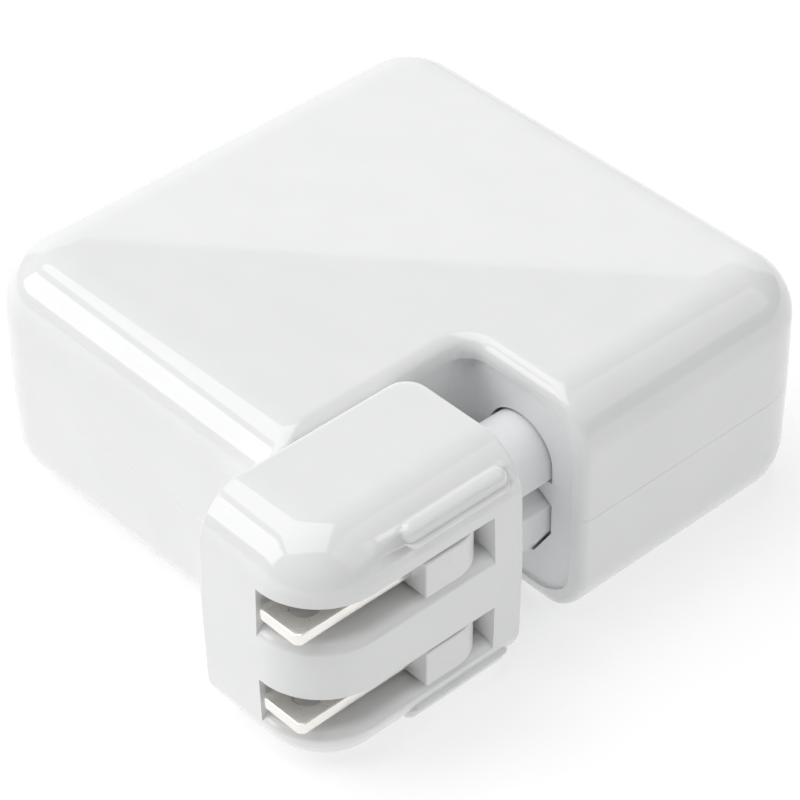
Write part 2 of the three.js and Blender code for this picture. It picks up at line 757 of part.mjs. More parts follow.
function outputPort() {
  const mouthX = left + PORT_RECESS;
  const endX = mouthX + PORT_LENGTH;
  const sleeve = alongX(portOutline(0), mouthX, endX, 5);
  const inside = alongX(portOutline(-PORT_SHEET), mouthX - 1, endX + 1, 5);
  const rootX = endX - 1.8;
  const root = alongX(portOutline(-PORT_SHEET - GAP), rootX, endX, 4);
  const blade = box(mouthX + 0.9, rootX + 0.5, -3.35, 3.35, midZ - 0.35, midZ + 0.35);
  const boardTopZ = midZ - PORT_HEIGHT / 2 - GAP;
  const boardBottomZ = boardTopZ - PORT_BOARD_THICK;
  const portBoard = box(left + SHELL_WALL + BOARD_EDGE, left + 19, -7, 7, boardBottomZ, boardTopZ);
  let header = box(left + 16, left + 18, -6, 6, onBoard + 1.5, boardBottomZ - GAP);
  for (let i = 0; i < 5; i += 1) {
    const y = -4.8 + i * 2.4;
    header = header.add(box(left + 16.7, left + 17.3, y - 0.3, y + 0.3, onBoard, onBoard + 2));
  }
  return group(
    piece("port_shell", sleeve.subtract(inside), "nickel"),
    piece("port_tongue", root.add(blade), "black_epoxy"),
    piece("port_board", portBoard, "board_green"),
    piece("port_header", header, "black_epoxy"),
  );
}

// ---------------------------------------------------------------- plug head, drawn pushed home

// The pockets that the blades and their hubs turn in, grown by some amount.
function pockets(grow, into) {
  const beyond = BRICK_X + BRICK_Y;
  const half = SLOT_HEIGHT / 2 + grow;
  const roundR = HUB_R + HUB_CLEARANCE + grow;
  let made = null;
  for (const z of bladeZ) {
    const endY = hingeY + HUB_R + SLOT_END_CLEARANCE + grow;
    const slot = box(pocketX - grow, beyond, -beyond, endY, z - half, z + half);
    const bowl = aboutZ(rod(roundR, 2 * half), hingeX, hingeY, z - half, 24);
    const pocket = slot.add(bowl);
    made = made ? made.add(pocket) : pocket;
  }
  return into ? into.subtract(made) : made;
}

// The hub's plan: a round back and right side, a flat front and a flat left side.
function hubOutline() {
  const turnAt = (205 * Math.PI) / 180;
  const side = HUB_R - HUB_FACE_SETBACK;
  const ease = 0.3;
  const outline = new THREE.Shape();
  outline.moveTo(hingeX + HUB_R - ease, hingeY - side);
  outline.lineTo(hingeX + HUB_R, hingeY - side + ease);
  outline.lineTo(hingeX + HUB_R, hingeY);
  outline.absarc(hingeX, hingeY, HUB_R, 0, turnAt);
  outline.lineTo(bladeX0, hingeY - side);
  return outline;
}

// A blade's plan, lying folded along -Y.
function bladeOutline(grow, rootY) {
  const x1 = bladeX1 + grow;
  const x0 = bladeX0 - grow;
  const tipY = hingeY - BLADE_REACH - grow;
  const c = BLADE_TIP_CHAMFER;
  const outline = new THREE.Shape();
  outline.moveTo(x1, rootY);
  outline.lineTo(x0, rootY);
  outline.lineTo(x0, tipY + c);
  outline.lineTo(x0 + c, tipY);
  outline.lineTo(x1 - c, tipY);
  outline.lineTo(x1, tipY + c);
  return outline;
}

function blades() {
  const rootY = hingeY - HINGE_PIN_R - GAP - 0.6;
  const made = [];
  bladeZ.forEach((z, i) => {
    const bladeBottom = z - BLADE_THICK / 2;
    const bladeTop = z + BLADE_THICK / 2;
    const blade = raised(bladeOutline(0, rootY), bladeBottom, bladeTop);
    const socket = raised(bladeOutline(GAP, rootY + GAP), bladeBottom - GAP, bladeTop + GAP);
    const holeX = (bladeX0 + bladeX1) / 2;
    const holeY = hingeY - BLADE_REACH + BLADE_HOLE_FROM_TIP;
    const hole = aboutZ(rod(BLADE_HOLE_R, BLADE_THICK + 2), holeX, holeY, bladeBottom - 1, 16);
    const hubBottom = z - HUB_HEIGHT / 2;
    const hub = raised(hubOutline(), hubBottom, hubBottom + HUB_HEIGHT, 16);
    const pinBore = rod(HINGE_PIN_R + GAP, HUB_HEIGHT + 2);
    const pinHole = aboutZ(pinBore, hingeX, hingeY, hubBottom - 1, 16);
    made.push(piece(`blade_hub_${level[i]}`, hub.subtract(socket).subtract(pinHole), "satin_white"));
    made.push(piece(`blade_${level[i]}`, blade.subtract(hole), "nickel"));
  });
  const pinStart = bladeZ[1] - SLOT_HEIGHT / 2 - POCKET_WALL + GAP;
  const pinEnd = bladeZ[0] + SLOT_HEIGHT / 2 + POCKET_WALL - GAP;
  const pin = aboutZ(easedRod(HINGE_PIN_R, pinEnd - pinStart, 0.3), hingeX, hingeY, pinStart, 16);
  made.push(piece("hinge_pin", pin, "steel"));
  return made;
}

// A finger ridge: a round-ended bar along the plug head's rounded edge, at the top or the bottom.
function ridge(top) {
  const reach = EDGE_R - RIDGE_SUNK;
  const x = right - EDGE_R + reach * Math.sin(RIDGE_LEAN);
  const down = EDGE_R - reach * Math.cos(RIDGE_LEAN);
  const z = top ? BRICK_Z - down : down;
  const y = seatY - RIDGE_FROM_END - RIDGE_LENGTH / 2;
  const bar = new THREE.CapsuleGeometry(RIDGE_R, RIDGE_LENGTH - 2 * RIDGE_R, 3, 10);
  return solid(bar.translate(x, y, z));
}

function plugHousing() {
  const beyond = BRICK_X + BRICK_Y;
  const seat = notchOutline(-GAP);
  const outer = roundedBlock(0).intersect(raised(seat, -1, BRICK_Z + 1, 4));
  const wallX = notchX + GAP + HEAD_SIDE_WALL;
  const column = box(0, columnX, seatY - NOTCH_R, beyond, -1, BRICK_Z + 1);
  const room = roundedBlock(SHELL_WALL)
    .intersect(box(wallX, beyond, -beyond, beyond, 0, BRICK_Z))
    .subtract(column);
  const hollow = pockets(POCKET_WALL, room);
  const neckHalf = STUD_NECK_R + STUD_CLEARANCE;
  const neck = box(notchX, wallX + GAP, studY - neckHalf, seatY + 1, midZ - neckHalf, midZ + neckHalf);
  const headHalf = STUD_HEAD_R + STUD_CLEARANCE;
  const studPath = box(
    wallX - 0.1,
    wallX + 2 * GAP + STUD_HEAD_THICK,
    seatY - NOTCH_R - 1,
    seatY + 1,
    midZ - headHalf,
    midZ + headHalf,
  );
  let housing = outer.subtract(hollow).add(ridge(true)).add(ridge(false));
  housing = housing.subtract(pockets(0)).subtract(neck).subtract(studPath);
  const pinBottom = bladeZ[1] - SLOT_HEIGHT / 2 - 2 * POCKET_WALL;
  const pinTop = bladeZ[0] + SLOT_HEIGHT / 2 + 2 * POCKET_WALL;
  const pinBore = rod(HINGE_PIN_R + GAP, pinTop - pinBottom);
  housing = housing.subtract(aboutZ(pinBore, hingeX, hingeY, pinBottom, 16));
  for (const z of stripZ) {
    const half = STRIP_HEIGHT / 2 + GAP;
    const slit = box(rotorBackX - 1, hingeX - HUB_R, hingeY - 0.6, hingeY + 0.6, z - half, z + half);
    housing = housing.subtract(slit);
  }
  return piece("plug_housing", housing, "gloss_white");
}

// The plate that closes the housing's end, with the nose that goes into the inlet.
function plugCover() {
  const x0 = columnX + GAP;
  const x1 = right - SHELL_WALL - GAP;
  const z0 = SHELL_WALL + GAP;
  const z1 = BRICK_Z - SHELL_WALL - GAP;
  const plateOutline = roundedRectangle(x0, x1, z0, z1, EDGE_R - SHELL_WALL);
  const plate = alongY(plateOutline, seatY - COVER_THICK, seatY, 5);
  const nose = alongY(noseOutline(0), seatY - COVER_THICK / 2, seatY + NOSE_LENGTH, 10);
  let cover = plate.add(nose);
  const sleeves = [];
  pinZ.forEach((z, i) => {
    const outer = 2.0;
    const bore = outer + GAP;
    const inner = PIN_D / 2 + 0.15;
    const length = COVER_THICK + NOSE_LENGTH;
    cover = cover.subtract(aboutY(rod(bore, length + 2), inletX, seatY - COVER_THICK - 1, z, 16));
    const profile = [
      [0, 0],
      [outer, 0],
      [outer, length],
      [inner, length],
      [inner, 2.6],
      [0, 2.6],
    ];
    const sleeve = aboutY(profile, inletX, seatY - COVER_THICK - 0.2, z, 16);
    sleeves.push(piece(`contact_sleeve_${level[i]}`, sleeve, "brass"));
  });
  return group(piece("plug_cover", cover, "inlet_plastic"), sleeves);
}

// Each contact strip runs from its sleeve, along the pocket's back, to the hub.
function contactStrips() {
  const thick = 0.4;
  const y1 = seatY - COVER_THICK - 0.2 - GAP;
  const backX = rotorBackX - GAP - thick;
  const tipX = hingeX - HUB_R - HUB_CLEARANCE - GAP;
  return stripZ.map((z, i) => {
    const outline = new THREE.Shape();
    outline.moveTo(inletX + 1.6, y1);
    outline.lineTo(backX, y1);
    outline.lineTo(backX, hingeY - thick / 2);
    outline.lineTo(tipX, hingeY - thick / 2);
    outline.lineTo(tipX, hingeY + thick / 2);
    outline.lineTo(backX + thick, hingeY + thick / 2);
    outline.lineTo(backX + thick, y1 - thick);
    outline.lineTo(inletX + 1.6, y1 - thick);
    const half = STRIP_HEIGHT / 2;
    return piece(`contact_strip_${level[i]}`, raised(outline, z - half, z + half), "brass");
  });
}

// The steel channel that grips the ground stud's head.
function groundClip() {
  const x0 = notchX + 2 * GAP + HEAD_SIDE_WALL;
  const x1 = x0 + STUD_HEAD_THICK + 2 * GAP;
  const half = STUD_HEAD_R + STUD_CLEARANCE + GAP;
  const y0 = studY - STUD_HEAD_R - 1.5;
  const y1 = seatY - NOTCH_R - GAP;
  const outside = box(x0, x1 + 0.4, y0, y1, midZ - half - 0.4, midZ + half + 0.4);
  const inside = box(x0 - 1, x1, y0 - 1, y1 + 1, midZ - half, midZ + half);
  return piece("ground_clip", outside.subtract(inside), "steel");
}

// A leaf between the two pockets that snaps the hinge pin into its two stops.
function detentSpring() {
  const thick = 0.35;
  const y0 = hingeY - 7;
  const y1 = hingeY + 5;
  const x0 = hingeX - 5.4;
  const nearX = hingeX - HINGE_PIN_R - GAP - thick;
  const outline = new THREE.Shape();
  outline.moveTo(x0, y0);
  outline.lineTo(nearX, hingeY - 0.8);
  outline.lineTo(nearX, hingeY + 0.8);
  outline.lineTo(x0, y1);
  outline.lineTo(x0 + thick, y1);
  outline.lineTo(nearX + thick, hingeY + 1);
  outline.lineTo(nearX + thick, hingeY - 1);
  outline.lineTo(x0 + thick, y0);
  return piece("detent_spring", raised(outline, midZ - 1.4, midZ + 1.4), "steel");
}

function plugHead() {
  const head = group(
    plugHousing(),
    plugCover(),
    contactStrips(),
    groundClip(),
    detentSpring(),
    blades(),
  );
  head.position.y = -PULLED_OUT;
  return head;
}

// ---------------------------------------------------------------- the adapter

const adapter = group(
  shells(),
  mainsInlet(),
  inletLeads(),
  groundStud(),
  boardAndShields(),
  choke(),
  transformer(),
  boostCoil(),
  heatSinksAndSwitches(),
  capacitors(),
  smallParts(),
  outputPort(),
  plugHead(),
);

export default adapter;
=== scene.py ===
# %% [markdown]
# # The looks of a laptop power adapter
# The adapter is a square white brick with soft edges. One corner is notched, and a plug head slides
# out of that notch. Two metal blades fold out of the plug head. The working model already exists,
# in metres, so this lesson loads it and dresses it: smooth mouldings go over the coarse ones, and
# every part gets its own finish.

# %% Load the working model
import math

import bmesh
import bpy
from mathutils import Matrix, Vector


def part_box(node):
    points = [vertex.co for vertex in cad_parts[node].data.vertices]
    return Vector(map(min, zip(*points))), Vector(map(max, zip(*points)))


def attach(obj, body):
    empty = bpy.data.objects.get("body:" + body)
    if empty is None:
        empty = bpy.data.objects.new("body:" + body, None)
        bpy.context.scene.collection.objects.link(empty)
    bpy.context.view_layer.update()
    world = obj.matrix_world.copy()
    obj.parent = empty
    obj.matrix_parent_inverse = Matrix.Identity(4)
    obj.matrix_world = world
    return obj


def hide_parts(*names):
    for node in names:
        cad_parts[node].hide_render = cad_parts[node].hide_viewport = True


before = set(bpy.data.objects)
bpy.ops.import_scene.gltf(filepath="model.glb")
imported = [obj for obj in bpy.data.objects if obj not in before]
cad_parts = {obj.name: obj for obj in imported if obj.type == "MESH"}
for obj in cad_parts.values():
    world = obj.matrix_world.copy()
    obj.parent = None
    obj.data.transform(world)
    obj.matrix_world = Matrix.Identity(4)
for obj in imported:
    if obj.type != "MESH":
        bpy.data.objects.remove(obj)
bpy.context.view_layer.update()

# %% [markdown]
# The shapes are easier to read in millimetres, so a small set of numbers is taken from the working
# model and kept in millimetres. A point is turned into metres only when a mesh is made. The brick's
# own box comes from its two shells, and the plug head's from its housing.

# %% The places the shapes are built from
MM = 0.001


def box_mm(node):
    low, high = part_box(node)
    return [v / MM for v in low], [v / MM for v in high]


lower_low = box_mm("lower_shell")[0]
upper_high = box_mm("upper_shell")[1]
head_low, head_high = box_mm("plug_housing")
left, front, bottom = lower_low
right, back, top = upper_high
mid_z = (bottom + top) / 2
seat_x = head_low[0]
seat_y = head_high[1]
head_front = head_low[1]
print("brick:", [round(v, 2) for v in (left, right, front, back, bottom, top)])
print("plug head: side", round(seat_x, 2), "end", round(seat_y, 2), "front", round(head_front, 2))

# %% [markdown]
# ## Camera
# The camera looks down on the corner that holds the plug head, a little from its right. A long lens
# keeps the brick's edges nearly parallel, as a catalogue does for a small product. The camera is
# placed by its direction and its distance from the brick's centre, moved a little sideways so that
# the brick sits well in the frame, and turned a hair to level it.

# %% Place the camera
azimuth, elevation, roll = math.radians(47.80), math.radians(39.88), math.radians(-0.619)
distance = 364.5
slide_right, slide_up = -0.281, 4.231
lens, sensor = 143.7, 36
nearest_seen, furthest_seen = 0.01, 20  # metres

backwards = Vector(
    (
        math.sin(azimuth) * math.cos(elevation),
        -math.cos(azimuth) * math.cos(elevation),
        math.sin(elevation),
    )
)
level_right = Vector((math.cos(azimuth), math.sin(azimuth), 0))
level_up = backwards.cross(level_right)
cam_right = math.cos(roll) * level_right + math.sin(roll) * level_up
cam_up = -math.sin(roll) * level_right + math.cos(roll) * level_up
brick_centre = Vector(((left + right) / 2, (front + back) / 2, mid_z))
eye = brick_centre + backwards * distance - cam_right * slide_right - cam_up * slide_up

camera_data = bpy.data.cameras.new("studio_camera")
camera_data.lens = lens
camera_data.sensor_width = sensor
camera_data.clip_start = nearest_seen
camera_data.clip_end = furthest_seen
camera = bpy.data.objects.new("studio_camera", camera_data)
bpy.context.scene.collection.objects.link(camera)
turn = [[cam_right[i], cam_up[i], backwards[i]] for i in range(3)]
camera.matrix_world = Matrix([[*turn[i], eye[i] * MM] for i in range(3)] + [[0, 0, 0, 1]])
bpy.context.scene.camera = camera
print("camera at, mm:", [round(v, 1) for v in eye])

# %% [markdown]
# ## Floor and light
# The adapter stands in a white light tent. The floor is a wide sheet that gives off a soft light of
# its own, so that it stays white right up to the adapter. A broad softbox hangs overhead, a
# brighter one stands at the left and draws the long highlights on the front edges, and one at the
# right keeps the notch from going dark. A weak one in front only softens the shadows, so it is
# kept out of the reflections. The upright wall of light at the back is what the glossy top mirrors:
# its upper edge shows as the faint line across the top.

# %% Floor
bpy.context.scene.view_settings.view_transform = "Standard"
floor_half = 4.0
floor_grey, floor_glow = 0.6, 0.49


def grid_sheet(name, half, cells):
    mesh = bpy.data.meshes.new(name)
    bm = bmesh.new()
    bmesh.ops.create_grid(bm, x_segments=cells, y_segments=cells, size=half)
    bm.to_mesh(mesh)
    bm.free()
    sheet = bpy.data.objects.new(name, mesh)
    bpy.context.scene.collection.objects.link(sheet)
    return sheet


floor = grid_sheet("floor", floor_half, 4)
floor.location.z = bottom * MM - 0.0002
floor_finish = bpy.data.materials.new("white_floor")
floor_finish.use_nodes = True
floor_shader = floor_finish.node_tree.nodes["Principled BSDF"]
floor_shader.inputs["Base Color"].default_value = (floor_grey, floor_grey, floor_grey, 1)
floor_shader.inputs["Roughness"].default_value = 0.9
floor_shader.inputs["Specular IOR Level"].default_value = 0.1
floor_shader.inputs["Emission Color"].default_value = (1, 1, 1, 1)
floor_shader.inputs["Emission Strength"].default_value = floor_glow
floor.data.materials.append(floor_finish)
print("floor at, mm:", round(floor.location.z / MM, 2))

# %% Softboxes


def softbox(name, place, aim, width, height, radiance):
    """Places and sizes are in metres; radiance is how bright the softbox's face is."""
    light = bpy.data.lights.new(name, "AREA")
    light.shape = "RECTANGLE"
    light.size = width
    light.size_y = height
    light.energy = radiance * width * height * math.pi
    lamp = bpy.data.objects.new(name, light)
    bpy.context.scene.collection.objects.link(lamp)
    lamp.location = place
    facing = Vector(aim) - Vector(place)
    lamp.rotation_euler = facing.to_track_quat("-Z", "Y").to_euler()
    print(name, "radiance", radiance)
    return lamp


at_adapter = (0, 0, 0.02)
softbox("overhead_softbox", (-0.25, -0.25, 1.27), (0, 0, 0), 1.3, 1.3, 2.3)
front_fill = softbox("front_softbox", (0.15, -0.95, 0.55), at_adapter, 0.9, 0.7, 0.15)
front_fill.visible_glossy = False
softbox("left_softbox", (-0.75, -0.85, 0.62), at_adapter, 0.9, 0.6, 3.2)
softbox("back_wall", (-0.95, 0.9, 0.533), (-0.09, -0.1, 0.533), 2.2, 1.0, 0.9)
softbox("right_softbox", (0.76, 0.43, 0.83), at_adapter, 1.1, 1.0, 1.0)

# %% The tent's own faint light
world = bpy.data.worlds.new("light_tent")
world.use_nodes = True
tent = world.node_tree.nodes["Background"]
tent.inputs["Color"].default_value = (0.98, 0.99, 1.0, 1)
tent.inputs["Strength"].default_value = 0.1
bpy.context.scene.world = world
print("tent light:", round(tent.inputs["Strength"].default_value, 2))

# %% [markdown]
# ## Finishes
# Each finish is a small recipe. A noise pattern at the finish's own scale shifts its colour and its
# roughness a little, and the same kind of pattern raises fine grain on it. On moulded plastic that
# grain is the faint waviness of the mould, on metal it is drawn out into brush lines, and on wound
# parts it becomes the turns of wire or tape.

# %% A recipe for a finish


def finish(name, dark, light, rough, scale, grain, metal=0.0, stretch=(1, 1, 1), turns=None):
    """dark and light are the two ends of the colour; rough is the two ends of the roughness.
    scale is how fine the pattern is, grain how high it stands in metres, and stretch draws it out.
    turns is the axis that wire or tape is wound along, and how closely it is wound."""
    made = bpy.data.materials.new(name)
    made.use_nodes = True
    tree = made.node_tree
    shader = tree.nodes["Principled BSDF"]
    place = tree.nodes.new("ShaderNodeTexCoord")
    spread = tree.nodes.new("ShaderNodeMapping")
    spread.inputs["Scale"].default_value = stretch
    tree.links.new(place.outputs["Object"], spread.inputs["Vector"])
    noise = tree.nodes.new("ShaderNodeTexNoise")
    noise.inputs["Scale"].default_value = scale
    noise.inputs["Detail"].default_value = 4.0
    tree.links.new(spread.outputs["Vector"], noise.inputs["Vector"])
    colours = tree.nodes.new("ShaderNodeValToRGB")
    colours.color_ramp.elements[0].position = 0.3
    colours.color_ramp.elements[0].color = (*dark, 1)
    colours.color_ramp.elements[1].position = 0.7
    colours.color_ramp.elements[1].color = (*light, 1)
    tree.links.new(noise.outputs["Fac"], colours.inputs["Fac"])
    tree.links.new(colours.outputs["Color"], shader.inputs["Base Color"])
    range_of_rough = tree.nodes.new("ShaderNodeMapRange")
    range_of_rough.inputs["To Min"].default_value = rough[0]
    range_of_rough.inputs["To Max"].default_value = rough[1]
    tree.links.new(noise.outputs["Fac"], range_of_rough.inputs["Value"])
    tree.links.new(range_of_rough.outputs["Result"], shader.inputs["Roughness"])
    raise_by = noise.outputs["Fac"]
    if turns:
        direction, closeness = turns
        wave = tree.nodes.new("ShaderNodeTexWave")
        wave.bands_direction = direction
        wave.inputs["Scale"].default_value = closeness
        wave.inputs["Distortion"].default_value = 0.4
        tree.links.new(place.outputs["Object"], wave.inputs["Vector"])
        raise_by = wave.outputs["Fac"]
    bump = tree.nodes.new("ShaderNodeBump")
    bump.inputs["Strength"].default_value = 1.0
    bump.inputs["Distance"].default_value = grain
    tree.links.new(raise_by, bump.inputs["Height"])
    tree.links.new(bump.outputs["Normal"], shader.inputs["Normal"])
    shader.inputs["Metallic"].default_value = metal
    print("finish", name)
    return made


# %% [markdown]
# Three plastics show. The shells are polished and almost mirror-smooth, with a waviness too low to
# see except where a straight highlight crosses it. The hubs are satin, and the inlet's face and the
# nose are matt, as a finely blasted mould leaves them.

# %% Plastics that show
gloss_white = finish(
    "gloss_white",
    dark=(0.855, 0.86, 0.858),
    light=(0.875, 0.88, 0.878),
    rough=(0.015, 0.035),
    scale=160,
    grain=0.0000004,
)
satin_white = finish(
    "satin_white",
    dark=(0.84, 0.845, 0.84),
    light=(0.865, 0.87, 0.865),
    rough=(0.30, 0.36),
    scale=1200,
    grain=0.0000015,
)
inlet_plastic = finish(
    "inlet_plastic",
    dark=(0.85, 0.86, 0.87),
    light=(0.87, 0.88, 0.89),
    rough=(0.34, 0.42),
    scale=1500,
    grain=0.000003,
)
print("plastics:", [m.name for m in (gloss_white, satin_white, inlet_plastic)])

# %% [markdown]
# The metals are nickel plate on the blades, pins and port, bare steel, brass for the contacts,
# copper wire and aluminium sheet. Plate has a soft, warm shine. Drawn or rolled metal has its
# pattern stretched along one axis, and the copper gets a ripple that stands for its turns.

# %% Metals
nickel = finish(
    "nickel",
    dark=(0.86, 0.835, 0.80),
    light=(0.90, 0.875, 0.84),
    rough=(0.24, 0.3),
    metal=1.0,
    scale=260,
    grain=0.0000015,
)
steel = finish(
    "steel",
    dark=(0.42, 0.42, 0.43),
    light=(0.55, 0.55, 0.56),
    rough=(0.25, 0.4),
    metal=1.0,
    scale=1500,
    stretch=(1, 6, 1),
    grain=0.000006,
)
brass = finish(
    "brass",
    dark=(0.58, 0.40, 0.16),
    light=(0.70, 0.50, 0.22),
    rough=(0.22, 0.38),
    metal=1.0,
    scale=1400,
    grain=0.000005,
)
copper = finish(
    "copper",
    dark=(0.42, 0.16, 0.07),
    light=(0.56, 0.24, 0.11),
    rough=(0.2, 0.34),
    metal=1.0,
    scale=1800,
    grain=0.00008,
    turns=("Z", 700),
)
aluminium = finish(
    "aluminium",
    dark=(0.52, 0.53, 0.54),
    light=(0.64, 0.65, 0.66),
    rough=(0.34, 0.5),
    metal=1.0,
    scale=1200,
    stretch=(1, 12, 1),
    grain=0.000008,
)
print("metals:", [m.name for m in (nickel, steel, brass, copper, aluminium)])

# %% [markdown]
# The parts inside are board, ferrite, moulded packages, tape, shrink sleeve and paper. Each gets a
# plain honest finish at its own scale, so that an opened or cut-away adapter still reads true.

# %% Board, cores and covers inside the brick
board_green = finish(
    "board_green",
    dark=(0.008, 0.055, 0.022),
    light=(0.02, 0.12, 0.05),
    rough=(0.3, 0.5),
    scale=420,
    grain=0.00003,
)
ferrite = finish(
    "ferrite",
    dark=(0.018, 0.018, 0.02),
    light=(0.04, 0.04, 0.042),
    rough=(0.6, 0.8),
    scale=3000,
    grain=0.00003,
)
black_epoxy = finish(
    "black_epoxy",
    dark=(0.008, 0.008, 0.009),
    light=(0.02, 0.02, 0.022),
    rough=(0.42, 0.6),
    scale=5000,
    grain=0.00002,
)
yellow_tape = finish(
    "yellow_tape",
    dark=(0.60, 0.40, 0.03),
    light=(0.72, 0.50, 0.06),
    rough=(0.25, 0.4),
    scale=500,
    grain=0.00004,
    turns=("Z", 260),
)
sleeve_black = finish(
    "sleeve_black",
    dark=(0.012, 0.012, 0.018),
    light=(0.028, 0.028, 0.036),
    rough=(0.2, 0.34),
    scale=700,
    grain=0.00001,
)
film_box = finish(
    "film_box",
    dark=(0.55, 0.42, 0.10),
    light=(0.65, 0.50, 0.15),
    rough=(0.36, 0.5),
    scale=1500,
    grain=0.00001,
)
ceramic_blue = finish(
    "ceramic_blue",
    dark=(0.03, 0.11, 0.32),
    light=(0.05, 0.17, 0.42),
    rough=(0.25, 0.4),
    scale=1000,
    grain=0.00002,
)
fish_paper = finish(
    "fish_paper",
    dark=(0.62, 0.58, 0.46),
    light=(0.72, 0.68, 0.56),
    rough=(0.75, 0.9),
    scale=1800,
    stretch=(1, 5, 1),
    grain=0.00002,
)
wire_white = finish(
    "wire_white",
    dark=(0.68, 0.68, 0.64),
    light=(0.76, 0.76, 0.72),
    rough=(0.4, 0.55),
    scale=900,
    grain=0.00001,
)
print("inside:", [m.name for m in (board_green, ferrite, black_epoxy, yellow_tape, sleeve_black)])
print("and:", [m.name for m in (film_box, ceramic_blue, fish_paper, wire_white)])

# %% [markdown]
# ## Shape helpers
# Moulded parts are stacks of outlines. An outline is a ring of corners with a radius at each, and a
# part is made by laying such rings at many heights and joining each ring to the next. Where a part
# has a slot or a hole, a cutting body of the same kind is taken away from it. Blender could round
# the edges with a modifier alone, but rings give exact radii that change along an edge.

# %% Rings of rounded corners


def ring(corners):
    """corners is a list of (x, y, radius, steps); the result goes round them in order."""
    points = []
    for i, (x, y, r, steps) in enumerate(corners):
        here = Vector((x, y))
        before = (Vector(corners[i - 1][:2]) - here).normalized()
        after = (Vector(corners[(i + 1) % len(corners)][:2]) - here).normalized()
        half = before.angle(after) / 2
        centre = here + (before + after).normalized() * (r / math.sin(half))
        start = here + before * (r / math.tan(half)) - centre
        end = here + after * (r / math.tan(half)) - centre
        sweep = start.angle(end)
        for k in range(steps + 1):
            t = k / steps
            bent = start * math.sin((1 - t) * sweep) + end * math.sin(t * sweep)
            points.append(tuple(centre + bent / math.sin(sweep)))
    return points


# %% A body from a stack of rings


def new_object(name, bm):
    bmesh.ops.recalc_face_normals(bm, faces=bm.faces)
    mesh = bpy.data.meshes.new(name)
    bm.to_mesh(mesh)
    bm.free()
    made = bpy.data.objects.new(name, mesh)
    bpy.context.scene.collection.objects.link(made)
    return made


def stack(name, rings, looped=False):
    """Joins rings of 3-D points, in millimetres, into one closed body with a cap at each end.
    A looped body has no caps: its last ring joins its first, as in a tube with a real wall."""
    bm = bmesh.new()
    rows = [[bm.verts.new(Vector(p) * MM) for p in row] for row in rings]
    count = len(rows[0])
    nexts = rows[1:] + rows[:1] if looped else rows[1:]
    for low, high in zip(rows, nexts):
        for i in range(count):
            j = (i + 1) % count
            bm.faces.new((low[i], low[j], high[j], high[i]))
    if not looped:
        bm.faces.new(rows[0][::-1])
        bm.faces.new(rows[-1])
    return new_object(name, bm)


def at_height(outline, z):
    """An outline drawn in X and Y, placed at one height."""
    return [(x, y, z) for x, y in outline]


def at_depth(outline, y):
    """An outline drawn in X and Z, placed at one depth."""
    return [(x, y, z) for x, z in outline]


def at_side(outline, x):
    """An outline drawn in Y and Z, placed at one X."""
    return [(x, y, z) for y, z in outline]


# %% Cutting, joining and easing


def settle(piece):
    """Turns the piece's modifiers into plain mesh."""
    bpy.context.view_layer.update()
    seen = piece.evaluated_get(bpy.context.evaluated_depsgraph_get())
    mesh = bpy.data.meshes.new_from_object(seen)
    piece.modifiers.clear()
    piece.data = mesh
    return piece


def combine(piece, others, operation):
    for other in others:
        step = piece.modifiers.new(operation, "BOOLEAN")
        step.operation = operation
        step.solver = "EXACT"
        step.object = other
        settle(piece)
        bpy.data.objects.remove(other)
    return piece


def cut(piece, *others):
    return combine(piece, others, "DIFFERENCE")


def join(piece, *others):
    return combine(piece, others, "UNION")


def ease(piece, width, steps=3, angle=40):
    """Rounds off every edge sharper than the angle."""
    step = piece.modifiers.new("eased", "BEVEL")
    step.width = width * MM
    step.segments = steps
    step.limit_method = "ANGLE"
    step.angle_limit = math.radians(angle)
    step.harden_normals = False
    return settle(piece)


# %% Dress a finished shape


def dress(piece, material, slot, body, *nodes, sharp=32):
    """Smooths the shading, gives the finish, and seats the piece on its body."""
    piece.data.materials.clear()
    piece.data.materials.append(material)
    for polygon in piece.data.polygons:
        polygon.use_smooth = True
        polygon.material_index = 0
    piece.data.set_sharp_from_angle(angle=math.radians(sharp))
    even = piece.modifiers.new("even_shading", "WEIGHTED_NORMAL")
    even.keep_sharp = True
    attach(piece, body)
    if nodes:
        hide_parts(*nodes)
    low = [min(v.co[i] for v in piece.data.vertices) / MM for i in range(3)]
    high = [max(v.co[i] for v in piece.data.vertices) / MM for i in range(3)]
    print(piece.name, len(piece.data.polygons), "faces", [round(v, 1) for v in (*low, *high)])
    return piece


# %% [markdown]
# ## The brick's shells
# The brick is two moulded halves that meet at mid height. Each side leans in by half a degree from
# that seam so the half comes out of its mould, then rolls over into the flat top on a large radius.
# The notch's walls stay upright and only their last two millimetres roll over. A ring at each
# height carries both: its outer sides draw in by one amount and its notch sides draw back by
# another.

# %% Sizes of the shells
corner_r = 8.5
edge_r = 7.1
wall = 2.0
lean = math.radians(0.5)
notch_x, notch_y = 15.7, -4.0  # the notch's side wall and end wall
notch_r = 3.0  # the upright corner between them
notch_edge_r = 1.2  # the upright edges where they meet the brick's outside
lip_r = 2.0
inside_edge_r, inside_notch_r = 0.3, 1.0
seam = 0.005
seam_in, seam_up = 0.03, 0.035  # the small bevel that makes the seam a visible line
print("corners", corner_r, "rolled edge", edge_r, "notch lip", lip_r, "wall", wall)

# %% One ring of the brick


def brick_ring(drawn_in, drawn_back, z, inside=False):
    e, g = drawn_in, drawn_back
    r = corner_r - e
    small = inside_edge_r if inside else notch_edge_r
    inner = inside_notch_r if inside else notch_r + g
    return at_height(
        ring(
            [
                (right - e, back - e, r, 20),
                (left + e, back - e, r, 20),
                (left + e, front + e, r, 20),
                (notch_x - g, front + e, small, 6),
                (notch_x - g, notch_y + g, inner, 12),
                (right - e, notch_y + g, small, 6),
            ]
        ),
        z,
    )


